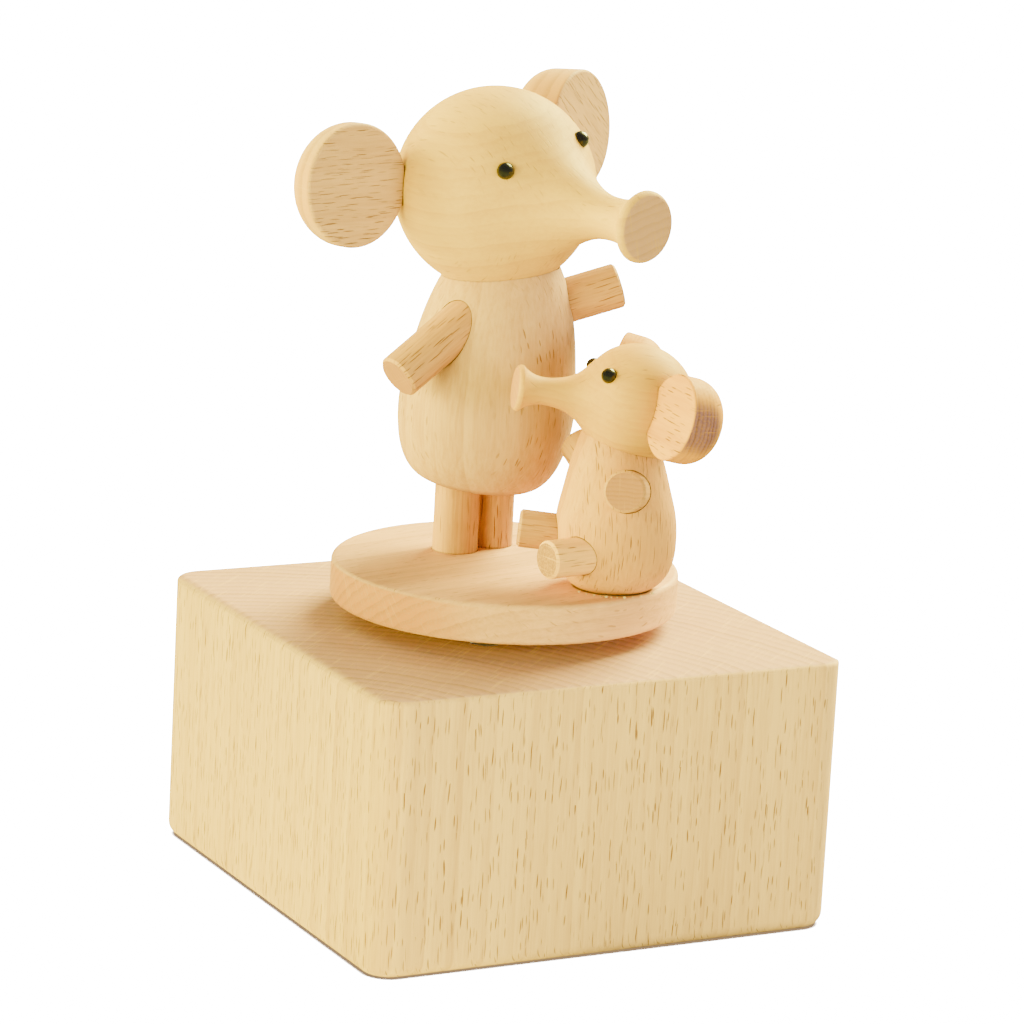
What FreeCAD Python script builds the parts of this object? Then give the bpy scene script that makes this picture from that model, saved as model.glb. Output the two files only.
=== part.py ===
import FreeCAD, Part
import math
import os

from FreeCAD import Placement, Rotation, Vector

# Rotating music box in beech: a solid block hides an 18 note movement, and a round plate
# that carries a standing and a sitting elephant is fixed on the winding arbor.
# Millimetres. Origin at the bottom centre of the block, +Z up, front of the block at -Y.
os.makedirs("parts", exist_ok=True)

# Fits shared by the whole object
running_clearance = 0.06
side_play = 0.15
wood_clearance = 0.3

# Block
block_width = 84.0
block_depth = 84.0
block_height = 45.4
block_corner_round = 5.1
block_front_round = 0.9
block_side_round = 1.9
block_foot_round = 2.4
block_roof = 7.4
cavity_end_clearance = 0.25
cavity_side_clearance = 2.68
cavity_corner = 10.0
arbor_hole_radius = 4.2

# Bottom cover
cover_thickness = 3.0
cover_inset = 0.6
cover_ledge = 4.0
cover_corner = 6.0
cover_fit = 0.25
cover_screw_inset = 5.0

# Turntable
plate_radius = 28.7
plate_thickness = 6.6
plate_gap = 2.7
plate_edge_round = 0.8
flange_radius = 9.0
flange_thickness = 1.2
boss_radius = 3.4
boss_height = 4.2
flange_screw_circle = 6.3
flange_screw_count = 3

# Screws: shank radius, head radius, head height, length under the head's top
cover_screw = (1.0, 2.0, 1.2, 8.5)
movement_screw = (1.3, 2.6, 1.5, 9.4)
flange_screw = (0.8, 1.5, 0.8, 5.0)
housing_screw = (0.7, 1.3, 0.7, 3.0)
comb_screw = (1.1, 2.1, 1.0, 4.6)
governor_screw = (1.0, 1.8, 0.9, 3.2)
bearing_screw = (0.8, 1.4, 0.7, 3.2)
slot_width_share = 0.3
slot_depth_share = 0.5

# Bedplate of the movement
bedplate_thickness = 2.6
bedplate_margin = 1.5
bedplate_corner = 6.5

# Winding arbor, spring and housing
arbor_radius = 2.0
arbor_core_radius = 3.2
arbor_core_height = 8.4
housing_radius = 11.4
housing_wall = 0.8
housing_ear_radius = 2.4
housing_ear_thickness = 1.0
housing_ear_count = 3
housing_ear_overlap = 0.6
spring_strip = 0.3
spring_height = 7.4
spring_coils = 8

# Ratchet between the arbor and the drive gear
ratchet_radius = 4.3
ratchet_teeth = 12
ratchet_depth = 0.8
ratchet_thickness = 1.2
click_radius = 6.1
click_pin_radius = 0.6
ratchet_undercut = 0.12
click_gap = 0.25
click_finger = 2.0
click_sweep = 50.0
click_pin_depth = 0.8
clip_thickness = 0.5
clip_radius = 3.0
clip_gap = 2.0
groove_radius = 1.4

# Crown drive gear and cylinder pinion
crown_module = 0.5
crown_teeth = 36
crown_face = 2.4
crown_web = 1.3
pinion_teeth = 12
addendum = 0.80
dedendum = 1.15
tooth_sink = 0.2

# Tooth outline: (share of the dedendum or addendum from the pitch line, thickness as a share of the step)
spur_flank = [(-1.0, 0.496), (0.0, 0.40), (0.75, 0.24), (1.0, 0.096)]
crown_root_share = 0.48
crown_tip_share = 0.224
worm_root_share = 0.46
worm_tip_share = 0.20

# Cylinder with its pins
cylinder_radius = 6.5
cylinder_end_gap = 0.35
cylinder_arbor_radius = 0.8
note_count = 18
note_pitch = 0.80
cylinder_margin = 0.7
pin_radius = 0.18
pin_height = 0.45
pin_rows = 6
pins_per_note = 6
drum_recess_depth = 0.28
drum_web_radius = 1.6
drum_rim = 1.6

# Comb
comb_thickness = 1.2
comb_reach = 12.0
comb_treble_reach = 8.0
comb_slot = 0.28
comb_back = 6.5
comb_tip_gap = 0.12
comb_weight_count = 8
comb_weight_height = 0.8
comb_weight_setback = 1.2
comb_weight_length = 4.2
comb_weight_step = 0.36
comb_seat_relief = 0.65

# Bearing lugs of the cylinder
lug_thickness = 1.5
lug_half_width = 3.6
lug_foot_length = 4.2
lug_foot_thickness = 1.3

# Cylinder gear, governor wheel and worm
gear_module = 0.4
gear_teeth = 44
gear_width = 1.5
governor_pinion_teeth = 10
governor_arbor_radius = 0.6
worm_wheel_module = 0.3
worm_wheel_teeth = 22
worm_wheel_width = 1.2
worm_core_radius = 1.0
worm_length = 6.0
worm_shaft_radius = 0.5
worm_gap = 0.12
worm_end_play = 0.2
worm_thread_sink = 0.15
fan_lift = 1.0
fan_radius = 3.8
fan_height = 5.0
fan_thickness = 0.35
fan_hub_radius = 1.1
frame_thickness = 1.5
frame_fan_gap = 0.7
frame_width = 9.6
frame_eye_wall = 0.4
governor_screw_spread = 2.7
governor_screw_setback = 2.2

# Mother elephant: where she stands, as shares of the plate's radius, and the way she faces.
# Shifts are shares of the radius of the piece that is shifted; leans and turns are degrees.
mother_stand = (-0.021, 0.376)
mother_heading = -165.0
mother_leg_radius = 3.8
mother_leg_gap = 0.2
mother_leg_length = 11.5
mother_leg_socket = 7.0
mother_body_radius = 14.6
mother_body_height = 38.0
mother_body_shift = (0.0993, 0.0993)
mother_body_lean = (3.9, 3.9)
mother_head_radius = 16.7
mother_head_seat = 5.2
mother_head_shift = (-0.030, 0.0445)
mother_head_turn = 0.1
mother_head_pitch = -1.2
mother_trunk_length = 35.9
mother_trunk_tip = 5.85
mother_trunk_lip = 1.3
mother_eye_radius = 1.4
mother_ear_radius = 10.1
mother_ear_round = 0.6
mother_ear_back_round = 4.8
mother_arm_radius = 3.75

# Baby elephant
baby_stand = (0.338, -0.690)
baby_heading = 90.0
baby_body_radius = 9.9
baby_body_height = 27.0
baby_body_lean = (1.0, -2.0)
baby_head_radius = 9.65
baby_head_seat = 6.25
baby_head_shift = (0.0, -0.200)
baby_head_turn = -19.0
baby_head_pitch = 6.4
baby_trunk_length = 19.9
baby_trunk_tip = 3.75
baby_trunk_lip = 0.9
baby_eye_radius = 1.25
baby_ear_radius = 7.0
baby_ear_round = 0.4
baby_ear_back_round = 4.5
baby_arm_radius = 3.4
baby_leg_radius = 3.1

# Fits of the dowels
socket_clearance = 0.12
limb_chamfer = 0.4
on_edge = 0.001
neck_dowel_radius = 2.0
neck_dowel_depth = 5.0
neck_dowel_end_gap = 0.4
skull_share = 0.62
lip_bevel_share = 0.55
lip_bulge_share = 0.22
eye_pin_radius = 0.5
eye_pin_length = 2.4

# Turned outlines: (share of the body's radius, share of its height) from the foot up
mother_body_outline = [(0.575, 0.0), (0.767, 0.039), (0.884, 0.105), (0.966, 0.21), (1.0, 0.368),
                       (0.952, 0.526), (0.884, 0.684), (0.774, 0.842), (0.589, 1.0)]
baby_body_outline = [(0.586, 0.0), (0.798, 0.056), (0.939, 0.148), (1.0, 0.296), (0.98, 0.444),
                     (0.889, 0.593), (0.788, 0.741), (0.657, 0.889), (0.545, 1.0)]

# Trunks: (share of the head's radius, share of the trunk's length) up to the flare
mother_trunk_outline = [(0.640, 0.362), (0.448, 0.473), (0.315, 0.585), (0.231, 0.696),
                        (0.211, 0.80), (0.246, 0.895)]
baby_trunk_outline = [(0.690, 0.345), (0.442, 0.462), (0.320, 0.548), (0.246, 0.673),
                      (0.235, 0.80), (0.292, 0.89)]

# Limbs: root and tip as (side, forward) shares of the body's radius and shares of its height
mother_arms = {"right": ((0.439, 0.249, 0.773), (1.422, 0.189, 0.535)),
               "left": ((-0.345, 0.275, 0.756), (-1.249, 0.880, 0.892))}
baby_arms = {"right": ((0.381, 0.055, 0.612), (1.297, 0.090, 0.784)),
             "left": ((-0.502, 0.091, 0.631), (-1.136, 0.558, 0.698))}
baby_legs = {"right": ((0.241, 0.453, 0.303), (0.761, 1.431, 0.334)),
             "left": ((-0.310, 0.479, 0.246), (-0.444, 1.529, 0.244))}

# Ears: bite into the head, way back and way up as shares of the head's radius, then the
# backward sweep and the upward tilt of the face in degrees and the thickness
mother_ears = {"right": (0.085, 0.303, 0.078, 2.1, 4.6, 7.0),
               "left": (0.314, 0.165, 0.458, 18.4, 5.7, 10.0)}
baby_ears = {"right": (0.280, -0.125, 0.197, 21.0, 5.0, 7.5),
             "left": (0.248, 0.306, 0.135, 18.1, 8.3, 7.5)}

# Eyes: place on the head as (side, forward, up) shares of its radius
mother_eyes = {"right": (0.576, 0.743, 0.341), "left": (-0.424, 0.704, 0.570)}
baby_eyes = {"right": (0.590, 0.684, 0.430), "left": (-0.588, 0.642, 0.512)}


# Heights that follow from the sizes above
ceiling_z = block_height - block_roof
bedplate_bottom = ceiling_z - bedplate_thickness
plate_bottom = block_height + plate_gap
plate_top = plate_bottom + plate_thickness
core_top = bedplate_bottom - side_play
core_bottom = core_top - arbor_core_height
housing_floor = core_bottom - side_play
housing_bottom = housing_floor - housing_wall
crown_radius = crown_module * crown_teeth / 2
crown_inner = crown_radius - crown_face / 2
crown_outer = crown_radius + crown_face / 2
crown_top = housing_bottom - 2 * side_play
crown_root_z = crown_top - crown_web
crown_pitch_z = crown_root_z - dedendum * crown_module
crown_tip_z = crown_pitch_z - addendum * crown_module
pinion_radius = crown_module * pinion_teeth / 2
axis_z = crown_pitch_z - pinion_radius

# Stations along the cylinder's axis, from the drive gear outwards
pinion_start = crown_inner - side_play
pinion_end = crown_outer + side_play
inner_lug_start = max(pinion_end + side_play, housing_radius + 2 * side_play)
inner_lug_end = inner_lug_start + lug_thickness
drum_start = inner_lug_end + cylinder_end_gap
drum_length = (note_count - 1) * note_pitch + 2 * cylinder_margin
drum_end = drum_start + drum_length
gear_start = drum_end + cylinder_end_gap
gear_end = gear_start + gear_width
outer_lug_start = gear_end + cylinder_end_gap
outer_lug_end = outer_lug_start + lug_thickness

# Governor stations beside the cylinder
gear_radius = gear_module * gear_teeth / 2
governor_pinion_radius = gear_module * governor_pinion_teeth / 2
governor_y = -(gear_radius + governor_pinion_radius)
worm_wheel_radius = worm_wheel_module * worm_wheel_teeth / 2
worm_lead = math.pi * worm_wheel_module
worm_pitch_radius = worm_core_radius + dedendum * worm_wheel_module
worm_outer_radius = worm_pitch_radius + addendum * worm_wheel_module
worm_y = governor_y - worm_wheel_radius - worm_pitch_radius - worm_gap
frame_right_start = gear_start - cylinder_end_gap - frame_thickness
frame_left_start = frame_right_start - frame_width + frame_thickness
worm_x = (frame_left_start + frame_right_start + frame_thickness) / 2
frame_back_y = worm_y - fan_radius - frame_fan_gap - frame_thickness
worm_bottom = axis_z - worm_length / 2
worm_top = axis_z + worm_length / 2
frame_bottom = worm_bottom - side_play - frame_thickness
fan_bottom = worm_top + fan_lift

# Comb stations
pin_tip_radius = cylinder_radius + pin_height
comb_tip_y = pin_tip_radius + comb_tip_gap
comb_root_y = comb_tip_y + comb_reach
comb_back_y = comb_root_y + comb_back
comb_top_z = axis_z + comb_thickness / 2

# Bedplate's outline, and the cavity of the block that takes it
bedplate_back_x = -housing_radius - 2 * bedplate_margin
bedplate_front_x = outer_lug_end + bedplate_margin
bedplate_right_y = frame_back_y - bedplate_margin
bedplate_left_y = comb_back_y + bedplate_margin / 2
cavity_width = 2 * (bedplate_front_x + cavity_end_clearance)
cavity_depth = 2 * (bedplate_left_y + cavity_side_clearance)


def save(shapes, name):
    """Writes one node: a solid, or a group of separate identical solids."""
    solids = shapes if isinstance(shapes, list) else [shapes]
    shape = solids[0] if len(solids) == 1 else Part.makeCompound(solids)
    shape.exportStep("parts/" + name + ".step")


def rod(radius, start, end):
    """A round bar from one point to another."""
    axis = end - start
    return Part.makeCylinder(radius, axis.Length, start, axis)


def upright(radius, bottom, top, x=0.0, y=0.0):
    return Part.makeCylinder(radius, top - bottom, Vector(x, y, bottom))


def along_x(radius, start, end, y=0.0, z=0.0):
    return Part.makeCylinder(radius, end - start, Vector(start, y, z), Vector(1, 0, 0))


def box(x0, x1, y0, y1, z0, z1):
    return Part.makeBox(x1 - x0, y1 - y0, z1 - z0, Vector(x0, y0, z0))


def rounded_slab(x0, x1, y0, y1, z0, z1, corner):
    """A slab with its four upright edges rounded."""
    slab = box(x0, x1, y0, y1, z0, z1)
    uprights = [e for e in slab.Edges if abs(e.tangentAt(e.FirstParameter).z) > 0.99]
    return slab.makeFillet(corner, uprights)


def level_edges(shape, z):
    """Edges that lie wholly at one height."""
    return [e for e in shape.Edges
            if abs(e.BoundBox.ZMin - z) < 1e-4 and abs(e.BoundBox.ZMax - z) < 1e-4]


def countersunk(spec, top, direction, grow=0.0):
    """A countersunk screw: the centre of its head's face, and the way it is driven."""
    shank, head, head_height, length = spec
    cone = Part.makeCone(head + grow, shank + grow, head_height, top, direction)
    shaft = Part.makeCylinder(shank + grow, length, top, direction)
    return cone.fuse(shaft).removeSplitter()


def slotted(screw, spec, top, direction):
    """The same screw with a driver slot across its head."""
    head = spec[1]
    slot_width = head * slot_width_share
    slot_depth = spec[2] * slot_depth_share
    slot = Part.makeBox(2 * head, slot_width, 2 * slot_depth,
                        Vector(-head, -slot_width / 2, -slot_depth))
    slot.Placement = Placement(top, Rotation(Vector(0, 0, 1), direction))
    return screw.cut(slot)


def ring_of(count, radius, first_angle=0.0):
    """Points evenly spaced on a circle round the origin."""
    turn = 2 * math.pi / count
    return [Vector(radius * math.cos(first_angle + k * turn),
                   radius * math.sin(first_angle + k * turn), 0) for k in range(count)]


def spun(profile, start_cap, end_cap):
    """Solid of revolution about Z from (radius, height) points joined by a smooth curve."""
    curve = Part.BSplineCurve()
    curve.interpolate([Vector(r, 0, h) for r, h in profile])
    low = Vector(0, 0, start_cap)
    high = Vector(0, 0, end_cap)
    first = Vector(profile[0][0], 0, profile[0][1])
    last = Vector(profile[-1][0], 0, profile[-1][1])
    edges = [Part.makeLine(low, first), curve.toShape(), Part.makeLine(last, high),
             Part.makeLine(high, low)]
    return Part.Face(Part.Wire(edges)).revolve(Vector(0, 0, 0), Vector(0, 0, 1), 360)


def gear_wire(teeth, module, phase=0.0):
    """Closed outline of a spur wheel in the XY plane, a tooth centred on the phase angle."""
    pitch_radius = teeth * module / 2
    step = 2 * math.pi / teeth
    flank = [(pitch_radius + share * module * (addendum if share > 0 else dedendum),
              thickness * step / 2) for share, thickness in spur_flank]
    points = []
    for k in range(teeth):
        middle = phase + k * step
        for radius, half in flank:
            points.append(Vector(radius * math.cos(middle - half), radius * math.sin(middle - half), 0))
        for radius, half in reversed(flank):
            points.append(Vector(radius * math.cos(middle + half), radius * math.sin(middle + half), 0))
    return Part.makePolygon(points + [points[0]])


def spur_along_x(teeth, module, start, end, y, z, bore, phase=0.0):
    """A spur wheel on an axis parallel to X; the phase is measured from +Y towards +Z."""
    wheel = Part.Face(gear_wire(teeth, module, phase)).extrude(Vector(0, 0, end - start))
    wheel = wheel.cut(Part.makeCylinder(bore, end - start))
    turn = Rotation(Vector(0, 1, 0), Vector(0, 0, 1), Vector(1, 0, 0), "ZXY")
    wheel.Placement = Placement(Vector(start, y, z), turn)
    return wheel


# Base: block and cover

def make_block(screw_holes):
    half_w, half_d = block_width / 2, block_depth / 2
    block = rounded_slab(-half_w, half_w, -half_d, half_d, 0, block_height, block_corner_round)
    block = block.makeFillet(block_front_round, level_edges(block, block_height))
    block = block.makeFillet(block_foot_round, level_edges(block, 0))
    for side in (-1, 1):
        centre = Vector(side * (half_w - block_side_round), -half_d, block_height - block_side_round)
        corner_bar = box(min(centre.x, side * half_w), max(centre.x, side * half_w), -half_d, half_d,
                         centre.z, block_height)
        round_bar = Part.makeCylinder(block_side_round, block_depth, centre, Vector(0, 1, 0))
        block = block.cut(corner_bar.cut(round_bar))
    cavity = rounded_slab(-cavity_width / 2, cavity_width / 2, -cavity_depth / 2, cavity_depth / 2,
                          0, ceiling_z, cavity_corner)
    rebate = cover_plate(0.0, 0.0, cover_inset + cover_thickness)
    block = block.cut(cavity).cut(rebate)
    block = block.cut(upright(arbor_hole_radius, ceiling_z, block_height))
    for hole in screw_holes:
        block = block.cut(hole)
    return block


def cover_plate(fit, bottom, top):
    half_w = cavity_width / 2 + cover_ledge - fit
    half_d = cavity_depth / 2 + cover_ledge - fit
    return rounded_slab(-half_w, half_w, -half_d, half_d, bottom, top, cover_corner)


def cover_screw_heads():
    x = cavity_width / 2 + cover_ledge - cover_screw_inset
    y = cavity_depth / 2 + cover_ledge - cover_screw_inset
    return [Vector(sx * x, sy * y, cover_inset) for sx in (-1, 1) for sy in (-1, 1)]


def movement_screw_heads():
    back_x = -housing_radius - bedplate_margin + movement_screw[1]
    side_y = housing_radius + movement_screw[1]
    front_x = (drum_start + drum_end) / 2
    return [Vector(back_x, -side_y, block_height), Vector(back_x, side_y, block_height),
            Vector(front_x, 0, block_height)]


# Movement: bedplate and bearings

def lug(start):
    """A bearing lug that hangs from the bedplate and carries the cylinder's arbor."""
    web = box(start, start + lug_thickness, -lug_half_width, lug_half_width, axis_z, bedplate_bottom)
    eye = along_x(lug_half_width, start, start + lug_thickness, 0, axis_z)
    bore = along_x(cylinder_arbor_radius + running_clearance, start, start + lug_thickness, 0, axis_z)
    return web.fuse(eye).removeSplitter().cut(bore)


def make_bedplate(holes):
    """Cast bedplate with the comb's seat and the inner bearing lug in one piece."""
    plate = rounded_slab(bedplate_back_x, bedplate_front_x, bedplate_right_y, bedplate_left_y,
                         bedplate_bottom, ceiling_z, bedplate_corner)
    seat = box(drum_start, drum_end, comb_root_y + comb_seat_relief, comb_back_y, comb_top_z,
               bedplate_bottom)
    plate = plate.fuse(seat).fuse(lug(inner_lug_start)).removeSplitter()
    plate = plate.cut(upright(arbor_radius + running_clearance, bedplate_bottom, ceiling_z))
    for hole in holes:
        plate = plate.cut(hole)
    return plate


def bearing_screw_heads():
    z = bedplate_bottom - lug_foot_thickness
    x = outer_lug_start - lug_foot_length / 2
    return [Vector(x, side * lug_half_width / 2, z) for side in (-1, 1)]


def make_outer_bearing(holes):
    """Separate bearing, so that the cylinder can be put in; its foot reaches over the gear."""
    foot = box(outer_lug_start - lug_foot_length, outer_lug_end, -lug_half_width, lug_half_width,
               bedplate_bottom - lug_foot_thickness, bedplate_bottom)
    bearing = lug(outer_lug_start).fuse(foot).removeSplitter()
    for hole in holes:
        bearing = bearing.cut(hole)
    return bearing


# Movement: spring drive

def ear_points():
    return ring_of(housing_ear_count, housing_radius + housing_ear_radius - housing_ear_overlap,
                   math.pi / 3)


def make_housing(holes):
    """Drawn steel can that closes against the bedplate and holds the mainspring."""
    can = upright(housing_radius, housing_bottom, bedplate_bottom)
    for point in ear_points():
        can = can.fuse(upright(housing_ear_radius, bedplate_bottom - housing_ear_thickness,
                               bedplate_bottom, point.x, point.y))
    can = can.removeSplitter()
    can = can.cut(upright(housing_radius - housing_wall, housing_floor, bedplate_bottom))
    can = can.cut(upright(arbor_radius + running_clearance, housing_bottom, housing_floor))
    for hole in holes:
        can = can.cut(hole)
    return can


def make_mainspring():
    """Flat spiral strip made of half circles whose centres alternate."""
    inner = arbor_core_radius + running_clearance + side_play + spring_strip / 2
    outer = housing_radius - housing_wall - spring_strip / 2
    halves = 2 * spring_coils
    growth = (outer - inner) / halves
    outside, inside = [], []
    for k in range(halves):
        centre = Vector(0 if k % 2 == 0 else growth, 0, 0)
        radius = inner + k * growth
        begin = 0 if k % 2 == 0 else 180
        for edges, offset in ((outside, spring_strip / 2), (inside, -spring_strip / 2)):
            edges.append(Part.makeCircle(radius + offset, centre, Vector(0, 0, 1), begin, begin + 180))
    starts = [edge.valueAt(edge.FirstParameter) for edge in (outside[0], inside[0])]
    ends = [edge.valueAt(edge.LastParameter) for edge in (outside[-1], inside[-1])]
    wire = Part.Wire(Part.__sortEdges__(outside + [Part.makeLine(*ends)] + inside
                                        + [Part.makeLine(*starts)]))
    strip = Part.Face(wire).extrude(Vector(0, 0, spring_height))
    strip.translate(Vector(0, 0, (core_top + core_bottom - spring_height) / 2))
    return strip


def make_arbor():
    """Winding arbor: bearing journals, spring core and the end that holds the plate."""
    tail = crown_root_z - ratchet_thickness - clip_thickness - 2 * side_play
    top = plate_bottom + boss_height - wood_clearance
    arbor = upright(arbor_radius, tail, top)
    arbor = arbor.fuse(upright(arbor_core_radius, core_bottom, core_top)).removeSplitter()
    groove_top = crown_root_z - ratchet_thickness - side_play
    groove = upright(2 * arbor_radius, groove_top - clip_thickness, groove_top)
    groove = groove.cut(upright(groove_radius, groove_top - clip_thickness, groove_top))
    return arbor.cut(groove)


def make_retaining_clip():
    """Split ring in the arbor's groove, under the ratchet wheel."""
    top = crown_root_z - ratchet_thickness - side_play
    clip = upright(clip_radius, top - clip_thickness, top)
    clip = clip.cut(upright(groove_radius, top - clip_thickness, top))
    return clip.cut(box(0, clip_radius, -clip_gap / 2, clip_gap / 2, top - clip_thickness, top))


def make_ratchet():
    """Saw-toothed wheel fixed on the arbor; it drives one way and clicks the other."""
    points = []
    step = 2 * math.pi / ratchet_teeth
    for k in range(ratchet_teeth):
        a = k * step
        points.append(Vector(ratchet_radius * math.cos(a), ratchet_radius * math.sin(a), 0))
        low = ratchet_radius - ratchet_depth
        back = a + ratchet_undercut * step
        points.append(Vector(low * math.cos(back), low * math.sin(back), 0))
    wheel = Part.Face(Part.makePolygon(points + [points[0]])).extrude(Vector(0, 0, ratchet_thickness))
    wheel.translate(Vector(0, 0, crown_root_z - ratchet_thickness))
    return wheel.cut(upright(arbor_radius, crown_root_z - ratchet_thickness, crown_root_z))


def crown_tooth(angle):
    """One radial tooth of the drive gear, wider towards the rim."""
    step = 2 * math.pi / crown_teeth
    sections = []
    for radius in (crown_inner, crown_outer):
        root = radius * step * crown_root_share / 2
        tip = radius * step * crown_tip_share / 2
        sunk = crown_root_z + tooth_sink
        corners = [Vector(radius, -root, sunk), Vector(radius, root, sunk),
                   Vector(radius, tip, crown_tip_z), Vector(radius, -tip, crown_tip_z)]
        sections.append(Part.makePolygon(corners + [corners[0]]))
    tooth = Part.makeLoft(sections, True, True)
    tooth.rotate(Vector(0, 0, 0), Vector(0, 0, 1), math.degrees(angle))
    return tooth


def make_drive_gear(click_seat):
    """Crown wheel: its teeth point down and turn the cylinder's pinion."""
    web = upright(crown_outer, crown_root_z, crown_top)
    step = 2 * math.pi / crown_teeth
    teeth = [crown_tooth((k + 0.5) * step) for k in range(crown_teeth)]
    gear = web.multiFuse(teeth).removeSplitter()
    gear = gear.cut(upright(arbor_radius + running_clearance, crown_root_z, crown_top))
    return gear.cut(click_seat)


def make_click(seat_only=False):
    """Click that rides on the ratchet's teeth: a pin and a curved finger in one piece."""
    pivot = Vector(-click_radius, 0, 0)
    low = crown_root_z - ratchet_thickness
    pin = upright(click_pin_radius, low, crown_root_z + click_pin_depth, pivot.x, pivot.y)
    if seat_only:
        return pin
    reach = ratchet_radius + click_gap
    finger = upright(reach + click_finger, low, crown_root_z)
    finger = finger.cut(upright(reach, low, crown_root_z))
    wedge = Part.makeCylinder(crown_outer, ratchet_thickness, Vector(0, 0, low), Vector(0, 0, 1),
                              click_sweep)
    wedge.rotate(Vector(0, 0, 0), Vector(0, 0, 1), 180)
    return finger.common(wedge).fuse(pin).removeSplitter()


# Movement: cylinder

def make_cylinder_arbor():
    return along_x(cylinder_arbor_radius, pinion_start, outer_lug_end, 0, axis_z)


def make_drum():
    """Brass barrel whose ends are recessed between the rim and the hub."""
    drum = along_x(cylinder_radius, drum_start, drum_end, 0, axis_z)
    drum = drum.cut(along_x(cylinder_arbor_radius, drum_start, drum_end, 0, axis_z))
    for start in (drum_start, drum_end - drum_recess_depth):
        end = start + drum_recess_depth
        recess = along_x(cylinder_radius - drum_rim, start, end, 0, axis_z)
        drum = drum.cut(recess.cut(along_x(drum_web_radius, start, end, 0, axis_z)))
    return drum


def make_pins():
    """Pins in even rows round the drum, one track to a tooth of the comb."""
    pins = []
    step = 2 * math.pi / (pins_per_note * pin_rows)
    for note in range(note_count):
        x = drum_start + cylinder_margin + note * note_pitch
        for k in range(pins_per_note):
            angle = step * (k * pin_rows + (note * 5 + k * k) % pin_rows + 0.5)
            ring = ring_of(4, pin_radius, math.pi / 4)
            face = Part.Face(Part.makePolygon(ring + [ring[0]]))
            pin = face.extrude(Vector(0, 0, pin_height))
            out = Vector(0, math.cos(angle), math.sin(angle))
            pin.Placement = Placement(Vector(x, 0, axis_z) + out * cylinder_radius,
                                      Rotation(Vector(0, 0, 1), out))
            pins.append(pin)
    return pins


def make_comb(holes):
    """Steel comb: graded teeth, with tuning weights under the longest ones."""
    x0 = drum_start + cylinder_margin - note_pitch / 2
    x1 = x0 + note_count * note_pitch
    z0 = comb_top_z - comb_thickness
    comb = box(x0, x1, comb_tip_y, comb_back_y, z0, comb_top_z)
    for k in range(1, note_count):
        share = k / (note_count - 1)
        root = comb_root_y + (comb_treble_reach - comb_reach) * share
        x = x0 + k * note_pitch
        comb = comb.cut(box(x - comb_slot / 2, x + comb_slot / 2, comb_tip_y, root, z0, comb_top_z))
    for k in range(comb_weight_count):
        x = x0 + k * note_pitch
        front = comb_tip_y + comb_weight_setback
        length = comb_weight_length - comb_weight_step * k
        weight = box(x + comb_slot / 2, x + note_pitch - comb_slot / 2, front, front + length,
                     z0 - comb_weight_height, z0)
        comb = comb.fuse(weight)
    comb = comb.removeSplitter()
    for hole in holes:
        comb = comb.cut(hole)
    return comb


def comb_screw_heads():
    y = (comb_root_y + comb_back_y) / 2 + comb_seat_relief
    z = comb_top_z - comb_thickness
    span = (drum_end - drum_start) / 4
    middle = (drum_start + drum_end) / 2
    return [Vector(middle + side * span, y, z) for side in (-1, 1)]


# Movement: governor

def make_governor_frame(holes):
    """Folded frame that carries the governor wheel and the upright worm."""
    x0 = frame_left_start
    x1 = frame_right_start + frame_thickness
    back = box(x0, x1, frame_back_y, frame_back_y + frame_thickness, frame_bottom, bedplate_bottom)
    foot = box(x0, x1, frame_back_y, worm_y + worm_outer_radius, frame_bottom,
               frame_bottom + frame_thickness)
    head = box(x0, x1, frame_back_y, worm_y + worm_outer_radius, bedplate_bottom - frame_thickness,
               bedplate_bottom)
    frame = back.fuse(foot).fuse(head)
    half = governor_pinion_radius + frame_eye_wall
    for start in (frame_left_start, frame_right_start):
        cheek = box(start, start + frame_thickness, frame_back_y, governor_y, axis_z - half,
                    axis_z + half)
        nose = along_x(half, start, start + frame_thickness, governor_y, axis_z)
        frame = frame.fuse(cheek).fuse(nose)
    frame = frame.removeSplitter()
    frame = frame.cut(along_x(governor_arbor_radius + running_clearance, x0, x1, governor_y, axis_z))
    frame = frame.cut(upright(worm_shaft_radius + running_clearance, frame_bottom, bedplate_bottom,
                              worm_x, worm_y))
    for hole in holes:
        frame = frame.cut(hole)
    return frame


def governor_screw_heads():
    y = frame_back_y + frame_thickness + governor_screw_setback
    return [Vector(worm_x + side * governor_screw_spread, y, bedplate_bottom - frame_thickness)
            for side in (-1, 1)]


def make_governor_arbor():
    return along_x(governor_arbor_radius, frame_left_start, gear_end, governor_y, axis_z)


def make_worm_wheel():
    start = worm_x - worm_wheel_width / 2
    return spur_along_x(worm_wheel_teeth, worm_wheel_module, start, start + worm_wheel_width,
                        governor_y, axis_z, governor_arbor_radius, math.pi)


def make_worm():
    """Single-start worm cut on its shaft."""
    shaft = upright(worm_shaft_radius, frame_bottom + worm_end_play, bedplate_bottom - worm_end_play,
                    worm_x, worm_y)
    core = upright(worm_core_radius, worm_bottom, worm_top, worm_x, worm_y)
    helix = Part.makeHelix(worm_lead, worm_length - worm_lead, worm_core_radius)
    root = worm_lead * worm_root_share / 2
    tip = worm_lead * worm_tip_share / 2
    sunk = worm_core_radius - worm_thread_sink
    corners = [Vector(sunk, 0, -root), Vector(worm_outer_radius, 0, -tip),
               Vector(worm_outer_radius, 0, tip), Vector(sunk, 0, root)]
    profile = Part.makePolygon(corners + [corners[0]])
    thread = Part.Wire(helix).makePipeShell([profile], True, True)
    thread.translate(Vector(worm_x, worm_y, worm_bottom + worm_lead / 2))
    return core.fuse(thread).fuse(shaft)


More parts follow.
